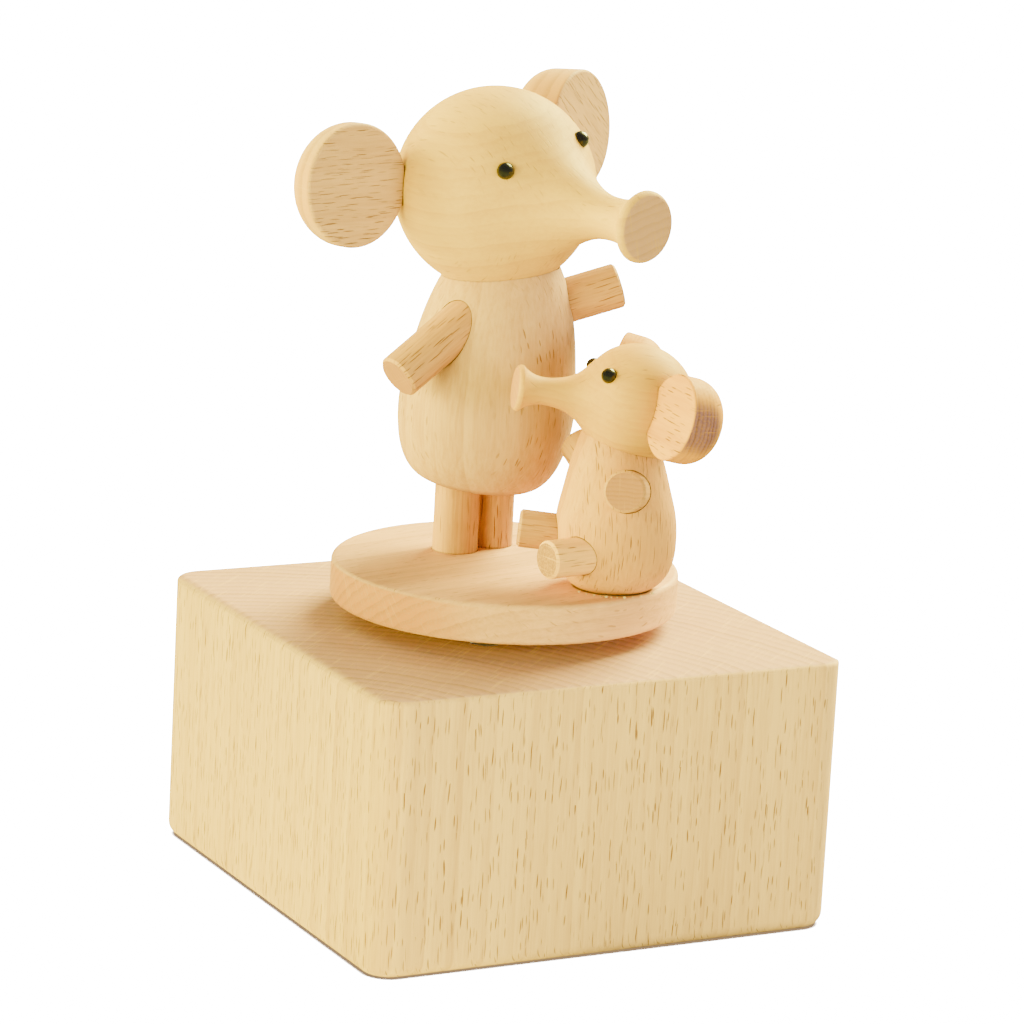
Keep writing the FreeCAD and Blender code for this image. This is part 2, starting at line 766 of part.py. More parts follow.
def make_fan():
    """Two-bladed air brake pressed on the worm's shaft."""
    hub = upright(fan_hub_radius, fan_bottom, fan_bottom + fan_height, worm_x, worm_y)
    blades = box(worm_x - fan_radius, worm_x + fan_radius, worm_y - fan_thickness / 2,
                 worm_y + fan_thickness / 2, fan_bottom, fan_bottom + fan_height)
    fan = hub.fuse(blades).removeSplitter()
    return fan.cut(upright(worm_shaft_radius, fan_bottom, fan_bottom + fan_height, worm_x, worm_y))


# Turntable

def flange_screw_heads():
    z = plate_bottom - flange_thickness
    return [Vector(p.x, p.y, z) for p in ring_of(flange_screw_count, flange_screw_circle, math.pi / 6)]


def make_flange(holes):
    """Metal flange with the boss that grips the arbor's end."""
    flange = upright(flange_radius, plate_bottom - flange_thickness, plate_bottom)
    flange = flange.fuse(upright(boss_radius, plate_bottom, plate_bottom + boss_height))
    flange = flange.removeSplitter()
    bore_top = plate_bottom + boss_height - wood_clearance
    flange = flange.cut(upright(arbor_radius, plate_bottom - flange_thickness, bore_top))
    for hole in holes:
        flange = flange.cut(hole)
    return flange


def make_plate(flange_holes):
    plate = upright(plate_radius, plate_bottom, plate_top)
    edges = level_edges(plate, plate_bottom) + level_edges(plate, plate_top)
    plate = plate.makeFillet(plate_edge_round, edges)
    plate = plate.cut(upright(boss_radius, plate_bottom, plate_bottom + boss_height))
    for hole in flange_holes:
        plate = plate.cut(hole)
    return plate


# Figures: each is built facing +Y with +X on its right, then set on the plate

def peg(radius, root, tip):
    """A dowel from root to tip with its free end slightly broken."""
    way = (tip - root).normalize()
    bar = rod(radius, root, tip)
    rim = [e for e in bar.Edges if isinstance(e.Curve, Part.Circle)
           and (e.Curve.Center - tip).Length < on_edge]
    return bar.makeChamfer(limb_chamfer, rim)


def turned_body(outline, radius, height, lean):
    """Turned body on the origin, tipped forwards and to its left by the lean in degrees."""
    body = spun([(r * radius, h * height) for r, h in outline], 0.0, height)
    body.rotate(Vector(0, 0, 0), Vector(1, 0, 0), -lean[0])
    body.rotate(Vector(0, 0, 0), Vector(0, 1, 0), -lean[1])
    return body


def turned_head(radius, outline, length, tip, lip):
    """Head and trunk turned in one piece: centre at the origin, trunk along +Y."""
    trunk = [Vector(r * radius, 0, h * length) for r, h in outline]
    reach = math.asin(skull_share * trunk[0].z / radius)
    shoulder = Vector(radius * math.cos(reach), 0, radius * math.sin(reach))
    back = Vector(0, 0, -radius)
    skull = Part.Arc(back, Vector(radius, 0, 0), shoulder).toShape()
    flare = Vector(tip, 0, length - lip)
    curve = Part.BSplineCurve()
    curve.interpolate(Points=[shoulder] + trunk + [flare],
                      InitialTangent=Vector(-math.sin(reach), 0, math.cos(reach)),
                      FinalTangent=Vector(0.5, 0, 0.5))
    bevel = lip_bevel_share * lip
    end = Vector(tip - bevel, 0, length)
    bulge = Vector(tip - bevel * lip_bulge_share, 0, length - lip * (1 - lip_bulge_share) / 2)
    lip_arc = Part.Arc(flare, bulge, end).toShape()
    face = Part.makeLine(end, Vector(0, 0, length))
    axis = Part.makeLine(Vector(0, 0, length), back)
    outline_face = Part.Face(Part.Wire([skull, curve.toShape(), lip_arc, face, axis]))
    head = outline_face.revolve(Vector(0, 0, 0), Vector(0, 0, 1), 360)
    head.rotate(Vector(0, 0, 0), Vector(1, 0, 0), -90)
    return head


def make_ear(side, head_radius, radius, face_round, back_round, place):
    """Flat faced ear with a domed back; side is +1 on the right and -1 on the left."""
    bite, back, rise = [share * head_radius for share in place[:3]]
    sweep, tilt, thickness = place[3:]
    ear = Part.makeCylinder(radius, thickness, Vector(0, 0, 0), Vector(0, -1, 0))
    for edge_round, depth in ((face_round, 0), (back_round, -thickness)):
        rims = [e for e in ear.Edges if isinstance(e.Curve, Part.Circle)
                and abs(e.Curve.Center.y - depth) < on_edge]
        ear = ear.makeFillet(edge_round, rims)
    ear.rotate(Vector(0, 0, 0), Vector(1, 0, 0), tilt)
    ear.rotate(Vector(0, 0, 0), Vector(0, 0, 1), -side * sweep)
    ear.translate(Vector(side * (head_radius + radius - bite), -back, rise))
    return ear


def make_eye(head_radius, radius, place):
    """Glass bead on a short pin, half sunk in the wood."""
    centre = Vector(*place) * head_radius
    inward = Vector(*place).normalize() * eye_pin_length
    pin = rod(eye_pin_radius, centre - inward, centre)
    return Part.makeSphere(radius, centre).fuse(pin).removeSplitter()


def head_set(prefix, head, head_radius, eye_radius, eyes, ear_sizes, ears):
    """The head with its ears and eyes, each piece cut to its seat."""
    pieces = {}
    for side, word in ((1, "right"), (-1, "left")):
        eye = make_eye(head_radius, eye_radius, eyes[word])
        pieces[prefix + "_ear_" + word] = make_ear(side, head_radius, *ear_sizes, ears[word]).cut(head)
        head = head.cut(eye)
        pieces[prefix + "_eye_" + word] = eye
    pieces[prefix + "_head"] = head
    return pieces


def set_head(pieces, turn, pitch, centre):
    for shape in pieces.values():
        shape.rotate(Vector(0, 0, 0), Vector(1, 0, 0), pitch)
        shape.rotate(Vector(0, 0, 0), Vector(0, 0, 1), turn)
        shape.translate(centre)


def join_neck(pieces, prefix, centre, head_radius):
    """Seats the head in the body and pins both with a hidden dowel."""
    head, body = prefix + "_head", prefix + "_body"
    pieces[body] = pieces[body].cut(pieces[head])
    seat = centre - Vector(0, 0, head_radius)
    reach = Vector(0, 0, neck_dowel_depth)
    end_gap = Vector(0, 0, neck_dowel_end_gap)
    bore = rod(neck_dowel_radius, seat - reach - end_gap, seat + reach + end_gap)
    pieces[prefix + "_neck_dowel"] = rod(neck_dowel_radius, seat - reach, seat + reach)
    for name in (head, body):
        pieces[name] = pieces[name].cut(bore)


def add_limbs(pieces, prefix, kind, radius, limbs, base, body_radius, body_height):
    """Dowel limbs glued in sockets that are slightly larger than the dowels."""
    body = prefix + "_body"
    for word, ends in limbs.items():
        root, tip = [base + Vector(x * body_radius, y * body_radius, z * body_height)
                     for x, y, z in ends]
        pieces[body] = pieces[body].cut(rod(radius + socket_clearance, root, tip))
        pieces[prefix + kind + word] = peg(radius, root, tip)


def make_mother():
    base = Vector(*mother_body_shift, 0) * mother_body_radius + Vector(0, 0, mother_leg_length)
    body = turned_body(mother_body_outline, mother_body_radius, mother_body_height, mother_body_lean)
    body.translate(base)
    rise = mother_body_height - mother_head_seat + mother_head_radius
    centre = base + Vector(*mother_head_shift, 0) * mother_head_radius + Vector(0, 0, rise)
    head = turned_head(mother_head_radius, mother_trunk_outline, mother_trunk_length,
                       mother_trunk_tip, mother_trunk_lip)
    pieces = head_set("mother", head, mother_head_radius, mother_eye_radius, mother_eyes,
                      (mother_ear_radius, mother_ear_round, mother_ear_back_round), mother_ears)
    set_head(pieces, mother_head_turn, mother_head_pitch, centre)
    pieces["mother_body"] = body
    join_neck(pieces, "mother", centre, mother_head_radius)
    add_limbs(pieces, "mother", "_arm_", mother_arm_radius, mother_arms, base,
              mother_body_radius, mother_body_height)
    for side, word in ((1, "right"), (-1, "left")):
        foot = Vector(side * (mother_leg_radius + mother_leg_gap / 2), 0, 0)
        leg = Part.makeCylinder(mother_leg_radius, mother_leg_length + mother_leg_socket, foot)
        pieces["mother_body"] = pieces["mother_body"].cut(leg)
        pieces["mother_leg_" + word] = leg
    return pieces


def make_baby():
    body = turned_body(baby_body_outline, baby_body_radius, baby_body_height, baby_body_lean)
    sole = box(-baby_body_radius, baby_body_radius, -baby_body_radius, baby_body_radius,
               -baby_body_radius, 0)
    base = Vector(0, 0, 0)
    rise = baby_body_height - baby_head_seat + baby_head_radius
    centre = base + Vector(*baby_head_shift, 0) * baby_head_radius + Vector(0, 0, rise)
    head = turned_head(baby_head_radius, baby_trunk_outline, baby_trunk_length,
                       baby_trunk_tip, baby_trunk_lip)
    pieces = head_set("baby", head, baby_head_radius, baby_eye_radius, baby_eyes,
                      (baby_ear_radius, baby_ear_round, baby_ear_back_round), baby_ears)
    set_head(pieces, baby_head_turn, baby_head_pitch, centre)
    pieces["baby_body"] = body.cut(sole)
    join_neck(pieces, "baby", centre, baby_head_radius)
    for kind, radius, limbs in (("_arm_", baby_arm_radius, baby_arms),
                                ("_leg_", baby_leg_radius, baby_legs)):
        add_limbs(pieces, "baby", kind, radius, limbs, base, baby_body_radius, baby_body_height)
    return pieces


def stand(pieces, place, heading):
    """Sets a finished figure on the plate."""
    for name, shape in pieces.items():
        shape.rotate(Vector(0, 0, 0), Vector(0, 0, 1), heading)
        shape.translate(Vector(place[0] * plate_radius, place[1] * plate_radius, plate_top))
        save(shape, name)


def make_screws(spec, heads, direction):
    return [slotted(countersunk(spec, head, direction), spec, head, direction) for head in heads]


def screw_holes(spec, heads, direction):
    return [countersunk(spec, head, direction) for head in heads]


up = Vector(0, 0, 1)
down = Vector(0, 0, -1)

cover_heads = cover_screw_heads()
movement_heads = movement_screw_heads()
flange_heads = flange_screw_heads()
ear_heads = [Vector(p.x, p.y, bedplate_bottom - housing_ear_thickness) for p in ear_points()]
comb_heads = comb_screw_heads()
governor_heads = governor_screw_heads()
bearing_heads = bearing_screw_heads()

cover_holes = screw_holes(cover_screw, cover_heads, up)
movement_holes = screw_holes(movement_screw, movement_heads, down)
flange_holes = screw_holes(flange_screw, flange_heads, up)
ear_holes = screw_holes(housing_screw, ear_heads, up)
comb_holes = screw_holes(comb_screw, comb_heads, up)
governor_holes = screw_holes(governor_screw, governor_heads, up)
bearing_holes = screw_holes(bearing_screw, bearing_heads, up)

save(make_block(cover_holes + movement_holes), "base_block")
cover = cover_plate(cover_fit, cover_inset, cover_inset + cover_thickness)
for hole in cover_holes:
    cover = cover.cut(hole)
save(cover, "bottom_cover")
save(make_screws(cover_screw, cover_heads, up), "cover_screws")

save(make_bedplate(movement_holes + ear_holes + comb_holes + governor_holes + bearing_holes),
     "bedplate")
save(make_outer_bearing(bearing_holes), "cylinder_bearing")
save(make_screws(bearing_screw, bearing_heads, up), "bearing_screws")
save(make_screws(movement_screw, movement_heads, down), "movement_screws")
save(make_housing(ear_holes), "spring_housing")
save(make_screws(housing_screw, ear_heads, up), "housing_screws")
save(make_mainspring(), "mainspring")
save(make_comb(comb_holes), "comb")
save(make_screws(comb_screw, comb_heads, up), "comb_screws")
save(make_governor_frame(governor_holes), "governor_frame")
save(make_screws(governor_screw, governor_heads, up), "governor_screws")

save(make_drive_gear(make_click(True)), "drive_gear")
save(make_click(), "drive_click")

save(make_drum(), "cylinder_drum")
save(make_pins(), "cylinder_pins")
save(make_cylinder_arbor(), "cylinder_arbor")
save(spur_along_x(pinion_teeth, crown_module, pinion_start, pinion_end, 0, axis_z,
                  cylinder_arbor_radius, math.pi / 2), "cylinder_pinion")
save(spur_along_x(gear_teeth, gear_module, gear_start, gear_end, 0, axis_z,
                  cylinder_arbor_radius, math.pi), "cylinder_gear")

save(make_governor_arbor(), "governor_arbor")
save(spur_along_x(governor_pinion_teeth, gear_module, gear_start, gear_end, governor_y, axis_z,
                  governor_arbor_radius, math.pi / governor_pinion_teeth), "governor_pinion")
save(make_worm_wheel(), "worm_wheel")
save(make_worm(), "worm")
save(make_fan(), "air_brake")

save(make_arbor(), "winding_arbor")
save(make_ratchet(), "ratchet_wheel")
save(make_retaining_clip(), "retaining_clip")
save(make_flange(flange_holes), "plate_flange")
save(make_screws(flange_screw, flange_heads, up), "flange_screws")
save(make_plate(flange_holes), "turntable_plate")

stand(make_mother(), mother_stand, mother_heading)
stand(make_baby(), baby_stand, baby_heading)
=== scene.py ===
"""Looks of the rotating music box: beech block, turning plate and two turned elephants."""
import logging
import math
from dataclasses import dataclass, field, fields
from enum import Enum

import bmesh
import bpy
import numpy as np
from mathutils import Matrix, Vector


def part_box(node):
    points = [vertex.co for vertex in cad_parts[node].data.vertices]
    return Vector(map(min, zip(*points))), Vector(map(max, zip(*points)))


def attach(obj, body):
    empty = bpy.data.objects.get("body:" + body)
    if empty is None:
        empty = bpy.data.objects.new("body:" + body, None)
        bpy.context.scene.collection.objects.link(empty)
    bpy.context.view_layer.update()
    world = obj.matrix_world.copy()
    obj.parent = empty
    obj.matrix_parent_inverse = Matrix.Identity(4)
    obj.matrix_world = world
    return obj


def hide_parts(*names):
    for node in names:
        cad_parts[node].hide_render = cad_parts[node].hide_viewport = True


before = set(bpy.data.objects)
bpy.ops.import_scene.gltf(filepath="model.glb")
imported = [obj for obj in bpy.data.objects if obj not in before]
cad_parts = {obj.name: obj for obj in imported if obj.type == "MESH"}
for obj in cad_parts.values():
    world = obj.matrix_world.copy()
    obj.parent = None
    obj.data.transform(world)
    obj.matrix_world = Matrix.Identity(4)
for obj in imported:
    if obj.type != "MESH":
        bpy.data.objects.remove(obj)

log = logging.getLogger("music_box")
MILLIMETRE = 0.001
UP = Vector((0.0, 0.0, 1.0))
# Corners closer than this are one corner, in metres and as digits behind the point.
MERGE_DISTANCE = 1e-6
MERGE_DIGITS = 6
# Edges that bend more than this stay crisp.
SHARP_DEGREES = 32.0
Socket = bpy.types.NodeSocket
Triple = tuple[float, float, float]
Levels = tuple[int, int, int]


def from_srgb(red: int, green: int, blue: int) -> tuple[float, float, float, float]:
    """Turns a colour picked on the wood (0 to 255) into linear light.

    Args:
        red: Red channel, 0 to 255.
        green: Green channel, 0 to 255.
        blue: Blue channel, 0 to 255.

    Returns:
        The linear colour with full alpha.
    """
    def channel(value: int) -> float:
        """Linear value of one channel."""
        share = value / 255.0
        return share / 12.92 if share <= 0.04045 else ((share + 0.055) / 1.055) ** 2.4
    return (channel(red), channel(green), channel(blue), 1.0)


class Grain(Enum):
    """Ways that the grain of a figure's piece can run."""

    UPRIGHT = "upright"
    ALONG_TRUNK = "along the trunk"
    ACROSS_EAR = "across the ear"
    ALONG_DOWEL = "along the dowel"


@dataclass(frozen=True)
class BeechFinish:
    """How one batch of beech looks once it is sanded and oiled; lengths in millimetres."""

    name: str
    pale: Levels
    tan: Levels
    end_colour: Levels
    fleck_colour: Levels = (150, 102, 46)
    fleck_strength: float = 0.9
    fleck_length: float = 1.5
    fleck_width: float = 0.10
    fleck_share: float = 0.55
    fibre_strength: float = 1.6
    ring_spacing: float = 2.4
    ring_strength: float = 0.25
    band_strength: float = 0.55
    speckle: float = 0.35
    pith: float = 90.0
    waver: float = 2.4
    roughness: float = 0.58

    def inputs(self) -> dict[str, object]:
        """Names the colours and measures as the inputs of the beech group are named.

        Returns:
            Linear colours and numbers by the input's name, with blanks written as underscores.
        """
        named = {part.name: getattr(self, part.name) for part in fields(self)
                 if part.name not in ("name", "roughness")}
        return {name.title(): from_srgb(*value) if isinstance(value, tuple) else value
                for name, value in named.items()}


@dataclass(frozen=True)
class MetalFinish:
    """A metal with fine drawing or turning marks; lengths in millimetres."""

    name: str
    bright: Levels
    dull: Levels
    scale: Triple = (6.0, 6.0, 0.4)
    roughness: float = 0.32
    relief: float = 0.004

    def gloss(self) -> dict[str, object]:
        """How the shader shines, by its inputs."""
        return {"Metallic": 1.0}


@dataclass(frozen=True)
class SmoothFinish:
    """A moulded or glossy material with faint unevenness; lengths in millimetres."""

    name: str
    bright: Levels
    dull: Levels
    roughness: float
    relief: float = 0.005
    scale: Triple = (1.5, 1.5, 1.5)
    shine: float = 0.35
    tint: Triple = (1.0, 1.0, 1.0)

    def gloss(self) -> dict[str, object]:
        """How the shader shines, by its inputs."""
        return {"Specular IOR Level": self.shine, "Specular Tint": self.tint + (1.0,)}


BLOCK_BEECH = BeechFinish(
    "beech_block", (241, 199, 135), (212, 169, 116), (192, 147, 141), (120, 78, 46),
    fleck_strength=1.0, fleck_length=2.4, fleck_width=0.095, fleck_share=0.58, ring_strength=0.4)
PLATE_BEECH = BeechFinish(
    "beech_plate", (230, 180, 135), (199, 150, 108), (209, 139, 68), (126, 80, 48),
    fleck_strength=0.7, fleck_length=1.4, fleck_share=0.4, ring_spacing=1.6, ring_strength=0.35,
    speckle=0.6)
HEAD_BEECH = BeechFinish(
    "beech_head", (210, 168, 78), (190, 144, 68), (186, 143, 122), (124, 84, 47),
    fleck_strength=0.65, fleck_length=1.6, fleck_share=0.45, fibre_strength=1.1, ring_spacing=1.3,
    ring_strength=0.24, speckle=0.2)
BABY_HEAD_BEECH = BeechFinish(
    "beech_baby_head", (206, 158, 53), (188, 135, 47), (170, 118, 101), (132, 86, 51),
    fleck_strength=0.6, fleck_length=1.4, fleck_share=0.45, fibre_strength=1.1, ring_spacing=1.1,
    ring_strength=0.24, speckle=0.2)
BODY_BEECH = BeechFinish(
    "beech_body", (193, 154, 122), (165, 123, 93), (157, 114, 86), (92, 57, 33),
    fleck_share=0.5)
BABY_BEECH = BeechFinish(
    "beech_baby", (204, 151, 87), (176, 122, 65), (166, 114, 72), (86, 53, 33),
    fleck_length=2.1, fleck_width=0.09, fleck_share=0.8)
DOWEL_BEECH = BeechFinish(
    "beech_dowel", (193, 145, 89), (158, 113, 66), (160, 112, 90), (79, 47, 26),
    fleck_length=2.8, fleck_width=0.1, fleck_share=0.6, ring_spacing=0.7)
# Painted light: the dowel beech made paler, standing in for the light from above that the baby's body
# keeps off its left leg.
DOWEL_BEECH_PAINTED_LIGHT = BeechFinish(
    "beech_pale_dowel", (247, 193, 110), (216, 161, 88), (128, 91, 76), (96, 62, 36),
    fleck_length=2.8, fleck_width=0.1, fleck_share=0.6, ring_spacing=0.7)
EAR_BEECH = BeechFinish(
    "beech_ear", (207, 164, 120), (178, 134, 97), (198, 145, 86), (80, 50, 30),
    fleck_length=2.4, fleck_width=0.1, fleck_share=0.8)
BROWN_EAR_BEECH = BeechFinish(
    "beech_brown_ear", (211, 148, 25), (188, 126, 22), (109, 75, 113), (60, 34, 26),
    fleck_length=2.0, fleck_width=0.12, ring_spacing=0.7, ring_strength=0.6, speckle=0.3)
COVER_BEECH = BeechFinish(
    "beech_cover", (214, 170, 104), (180, 132, 78), (160, 112, 66), (150, 102, 46),
    ring_spacing=4.0)


class Bench:
    """Adds nodes to one shader tree and links them."""

    def __init__(self, tree: bpy.types.NodeTree) -> None:
        """Takes the tree that is worked on."""
        self.tree = tree

    def add(self, kind: str, inputs: dict[str | int, object] | None = None,
            **settings: object) -> bpy.types.Node:
        """Adds one node.

        Args:
            kind: The node's type name.
            inputs: Value or socket of each input by its name or number.
            settings: Properties of the node by name.

        Returns:
            The new node.
        """
        node = self.tree.nodes.new(kind)
        for name, value in settings.items():
            setattr(node, name, value)
        self.fill(node, inputs or {})
        return node

    def fill(self, node: bpy.types.Node, inputs: dict[str | int, object]) -> None:
        """Links inputs of a node, or sets their plain values.

        Args:
            node: Node that is fed.
            inputs: Socket or plain value of each input by its name or number; None leaves the
                input as it is.
        """
        for name, value in inputs.items():
            if isinstance(value, Socket):
                self.tree.links.new(value, node.inputs[name])
            elif value is not None:
                node.inputs[name].default_value = value

    def math(self, operation: str, *values: object, clamp: bool = False) -> Socket:
        """One step of arithmetic on numbers or sockets.

        Args:
            operation: The math node's operation.
            values: Numbers or sockets in the node's order.
            clamp: Whether the result is kept between 0 and 1.

        Returns:
            The result's socket.
        """
        return self.add("ShaderNodeMath", dict(enumerate(values)), operation=operation,
                        use_clamp=clamp).outputs[0]

    def times(self, product: object, *factors: object) -> Socket:
        """Multiplies numbers or sockets.

        Args:
            product: First factor.
            factors: The other factors, in their order.

        Returns:
            The product's socket.
        """
        for factor in factors:
            product = self.math("MULTIPLY", product, factor)
        return product

    def inverse(self, share: object) -> Socket:
        """One less the share."""
        return self.math("SUBTRACT", 1.0, share)

    def vector(self, operation: str, first: object, second: object = None) -> Socket:
        """One step of arithmetic on vectors.

        Args:
            operation: The vector math node's operation.
            first: First vector or socket.
            second: Second vector or socket, where the operation takes one.

        Returns:
            The result's socket, which is a number for a length or a dot product.
        """
        node = self.add("ShaderNodeVectorMath", {0: first, 1: second}, operation=operation)
        return node.outputs["Value" if operation in ("LENGTH", "DOT_PRODUCT") else "Vector"]

    def step(self, value: object, low: float, high: float) -> Socket:
        """A soft step from 0 to 1.

        Args:
            value: Number or socket that is judged.
            low: Value that gives 0.
            high: Value that gives 1.

        Returns:
            The step's socket.
        """
        return self.add("ShaderNodeMapRange", {"Value": value, "From Min": low, "From Max": high},
                        interpolation_type="SMOOTHSTEP").outputs["Result"]

    def noise(self, place: object, scale: float, detail: float = 2.0, rough: float = 0.5) -> Socket:
        """Cloudy values round one half.

        Args:
            place: Place that the clouds are read at.
            scale: Clouds to one unit of length.
            detail: Number of finer layers.
            rough: Share of the finer layers.

        Returns:
            The cloud's socket.
        """
        return self.add("ShaderNodeTexNoise", {"Vector": place, "Scale": scale, "Detail": detail,
                                               "Roughness": rough}).outputs["Fac"]

    def blend(self, factor: object, first: object, second: object) -> Socket:
        """Mixes two colours.

        Args:
            factor: Share of the second colour.
            first: First colour or socket.
            second: Second colour or socket.

        Returns:
            The mixed colour's socket.
        """
        return self.add("ShaderNodeMix", {"Factor": factor, "A": first, "B": second},
                        data_type="RGBA").outputs["Result"]


class EffectGroup:
    """A shader node group with named sockets, built once and placed in many materials."""

    def __init__(self, name: str, inputs: dict[str, object], outputs: dict[str, str]) -> None:
        """Makes the group's tree and its sockets.

        Args:
            name: Name of the group.
            inputs: Default value of each input by name; its type follows from the value.
            outputs: Socket type of each output by name.
        """
        self.tree = bpy.data.node_groups.new(name, "ShaderNodeTree")
        self.bench = Bench(self.tree)
        for label, value in inputs.items():
            kind = "NodeSocketFloat"
            if isinstance(value, tuple):
                kind = "NodeSocketVector" if len(value) == 3 else "NodeSocketColor"
            socket = self.tree.interface.new_socket(name=label, in_out="INPUT", socket_type=kind)
            socket.default_value = value
        for label, kind in outputs.items():
            self.tree.interface.new_socket(name=label, in_out="OUTPUT", socket_type=kind)
        self.entry = self.bench.add("NodeGroupInput").outputs
        self.exit = self.bench.add("NodeGroupOutput")

    def place(self, bench: Bench, **values: object) -> bpy.types.Node:
        """Puts the group in a material and sets its inputs.

        Args:
            bench: Bench of the material.
            values: Value or socket of each input by name, with blanks written as underscores.

        Returns:
            The group's node.
        """
        named = {label.replace("_", " "): value for label, value in values.items()}
        return bench.add("ShaderNodeGroup", named, node_tree=self.tree)


class BeechGroup(EffectGroup):
    """Beech: growth rings, soft bands, fibres, ray flecks and end grain.

    The place is in millimetres with Z along the grain and Y out from the pith. Noises are given
    by their scale, their layers and the share of the finer layers.
    """

    END_STEP = (0.70, 0.96)
    CUT_STEP = (0.10, 0.75)
    END_SHARE = 0.9
    STRETCH = (1.0, 1.0, 0.05)
    BANDS = (0.22, 3.0, 0.6)
    BAND_STEP = (0.36, 0.66)
    FIBRE_STRETCH = (1.0, 1.0, 0.045)
    FIBRES = (2.2, 4.0, 0.65)
    WANDER = 0.55
    WANDER_STRETCH = (0.5, 0.5, 0.14)
    SWAY = (0.09, 3.0)
    YEAR_RISE = (0.30, 0.92)
    FAINTEST_YEAR = 0.45
    RING_DEPTH = 0.15
    END_LINES = 1.2
    PORES = (3.4, 2.0, 0.7)
    PORE_STEP = (0.44, 0.66)
    END_RAYS = (3.2, 0.12, 0.2)
    END_RAY_STEP = (0.56, 0.72)
    END_RAY_SHARE = 0.35
    CELL = (1.05, 2.0, 4.2)
    RAY_LENGTH = 1.1
    SMALL_FLECKS = 0.70
    SMALL_FLECK_SHIFT = (31.3, 17.1, 7.7)
    SHORTEST_FLECK = 0.55
    LENGTH_SPREAD = 0.65
    FAINTEST_FLECK = 0.30
    FLECK_EDGE = (0.55, 1.0)
    DRY_FIBRES = 0.2
    DRY_END = 0.10

    def __init__(self) -> None:
        """Builds the node group."""
        super().__init__(
            "beech_grain",
            {"Place": (0.0, 0.0, 0.0), "End": 0.0, "Cut": 1.0, "Pale": (1.0, 1.0, 1.0, 1.0),
             "Tan": (0.8, 0.6, 0.4, 1.0), "End Colour": (0.7, 0.5, 0.3, 1.0),
             "Fleck Colour": (0.5, 0.3, 0.1, 1.0), "Fleck Strength": 0.7, "Fleck Length": 1.2,
             "Fleck Width": 0.13, "Fleck Share": 0.6, "Fibre Strength": 1.3,
             "Ring Spacing": 2.6, "Ring Strength": 0.2, "Band Strength": 0.5, "Speckle": 0.35,
             "Pith": 90.0, "Waver": 2.0},
            {"Color": "NodeSocketColor", "Relief": "NodeSocketFloat", "Dry": "NodeSocketFloat"})
        bench, entry = self.bench, self.entry
        place = self._wandered(entry["Place"])
        drawn_out = bench.vector("MULTIPLY", place, self.STRETCH)
        ring, tone = self._rings(place, drawn_out)
        fibre = bench.noise(bench.vector("MULTIPLY", place, self.FIBRE_STRETCH), *self.FIBRES)
        bands = bench.step(bench.noise(drawn_out, *self.BANDS), *self.BAND_STEP)
        fleck = bench.math("MAXIMUM", self._flecks(place, 1.0, (0.0, 0.0, 0.0)),
                           self._flecks(place, self.SMALL_FLECKS, self.SMALL_FLECK_SHIFT))
        side_share = bench.times(bench.inverse(entry["End"]), entry["Cut"])
        fibre_share = bench.times(bench.math("SUBTRACT", fibre, 0.5), entry["Fibre Strength"])
        shade = bench.times(bench.math("ADD", bands, tone), 0.5, entry["Band Strength"])
        shade = bench.math("ADD", shade, bench.times(ring, entry["Ring Strength"]))
        shade = bench.math("ADD", shade, fibre_share, clamp=True)
        colour = bench.blend(shade, entry["Pale"], entry["Tan"])
        colour = bench.blend(bench.times(entry["End"], self.END_SHARE), colour,
                             self._end_grain(entry["Place"], ring))
        fleck_share = bench.times(fleck, entry["Fleck Strength"], side_share)
        relief = bench.math("SUBTRACT", bench.times(fibre, 0.5), bench.times(fleck, side_share))
        bench.fill(self.exit, {
            "Color": bench.blend(fleck_share, colour, entry["Fleck Colour"]),
            "Relief": bench.math("SUBTRACT", relief, bench.times(ring, self.RING_DEPTH)),
            "Dry": bench.math("ADD", bench.times(fibre_share, self.DRY_FIBRES),
                              bench.times(entry["End"], self.DRY_END))})

    def _wandered(self, place: Socket) -> Socket:
        """Pushes the pattern sideways, so that fibres and flecks don't run dead straight.

        Args:
            place: Place in the wood in millimetres.

        Returns:
            The place pushed a little sideways.
        """
        bench = self.bench
        cloud = bench.add("ShaderNodeTexNoise", {
            "Vector": bench.vector("MULTIPLY", place, self.WANDER_STRETCH), "Scale": 1.0,
            "Detail": 1.0})
        push = bench.vector("SUBTRACT", cloud.outputs["Color"], (0.5, 0.5, 0.5))
        push = bench.vector("MULTIPLY", push, (self.WANDER, self.WANDER, 0.0))
        return bench.vector("ADD", place, push)

    def _end_grain(self, place: Socket, ring: Socket) -> Socket:
        """Colour where the fibres are cut across: year lines, open pores and faint rays.

        Args:
            place: Place in the wood in millimetres.
            ring: Mask of the year lines.

        Returns:
            The colour's socket.
        """
        bench, entry = self.bench, self.entry
        lines = bench.times(ring, bench.times(entry["Ring Strength"], self.END_LINES))
        tone = bench.blend(lines, entry["End Colour"], entry["Fleck Colour"])
        pores = bench.step(bench.noise(place, *self.PORES), *self.PORE_STEP)
        tone = bench.blend(bench.times(pores, entry["Speckle"]), tone, entry["Tan"])
        rays = bench.noise(bench.vector("MULTIPLY", place, self.END_RAYS), 1.0)
        rays = bench.step(rays, *self.END_RAY_STEP)
        return bench.blend(bench.times(rays, self.END_RAY_SHARE), tone, entry["Pale"])

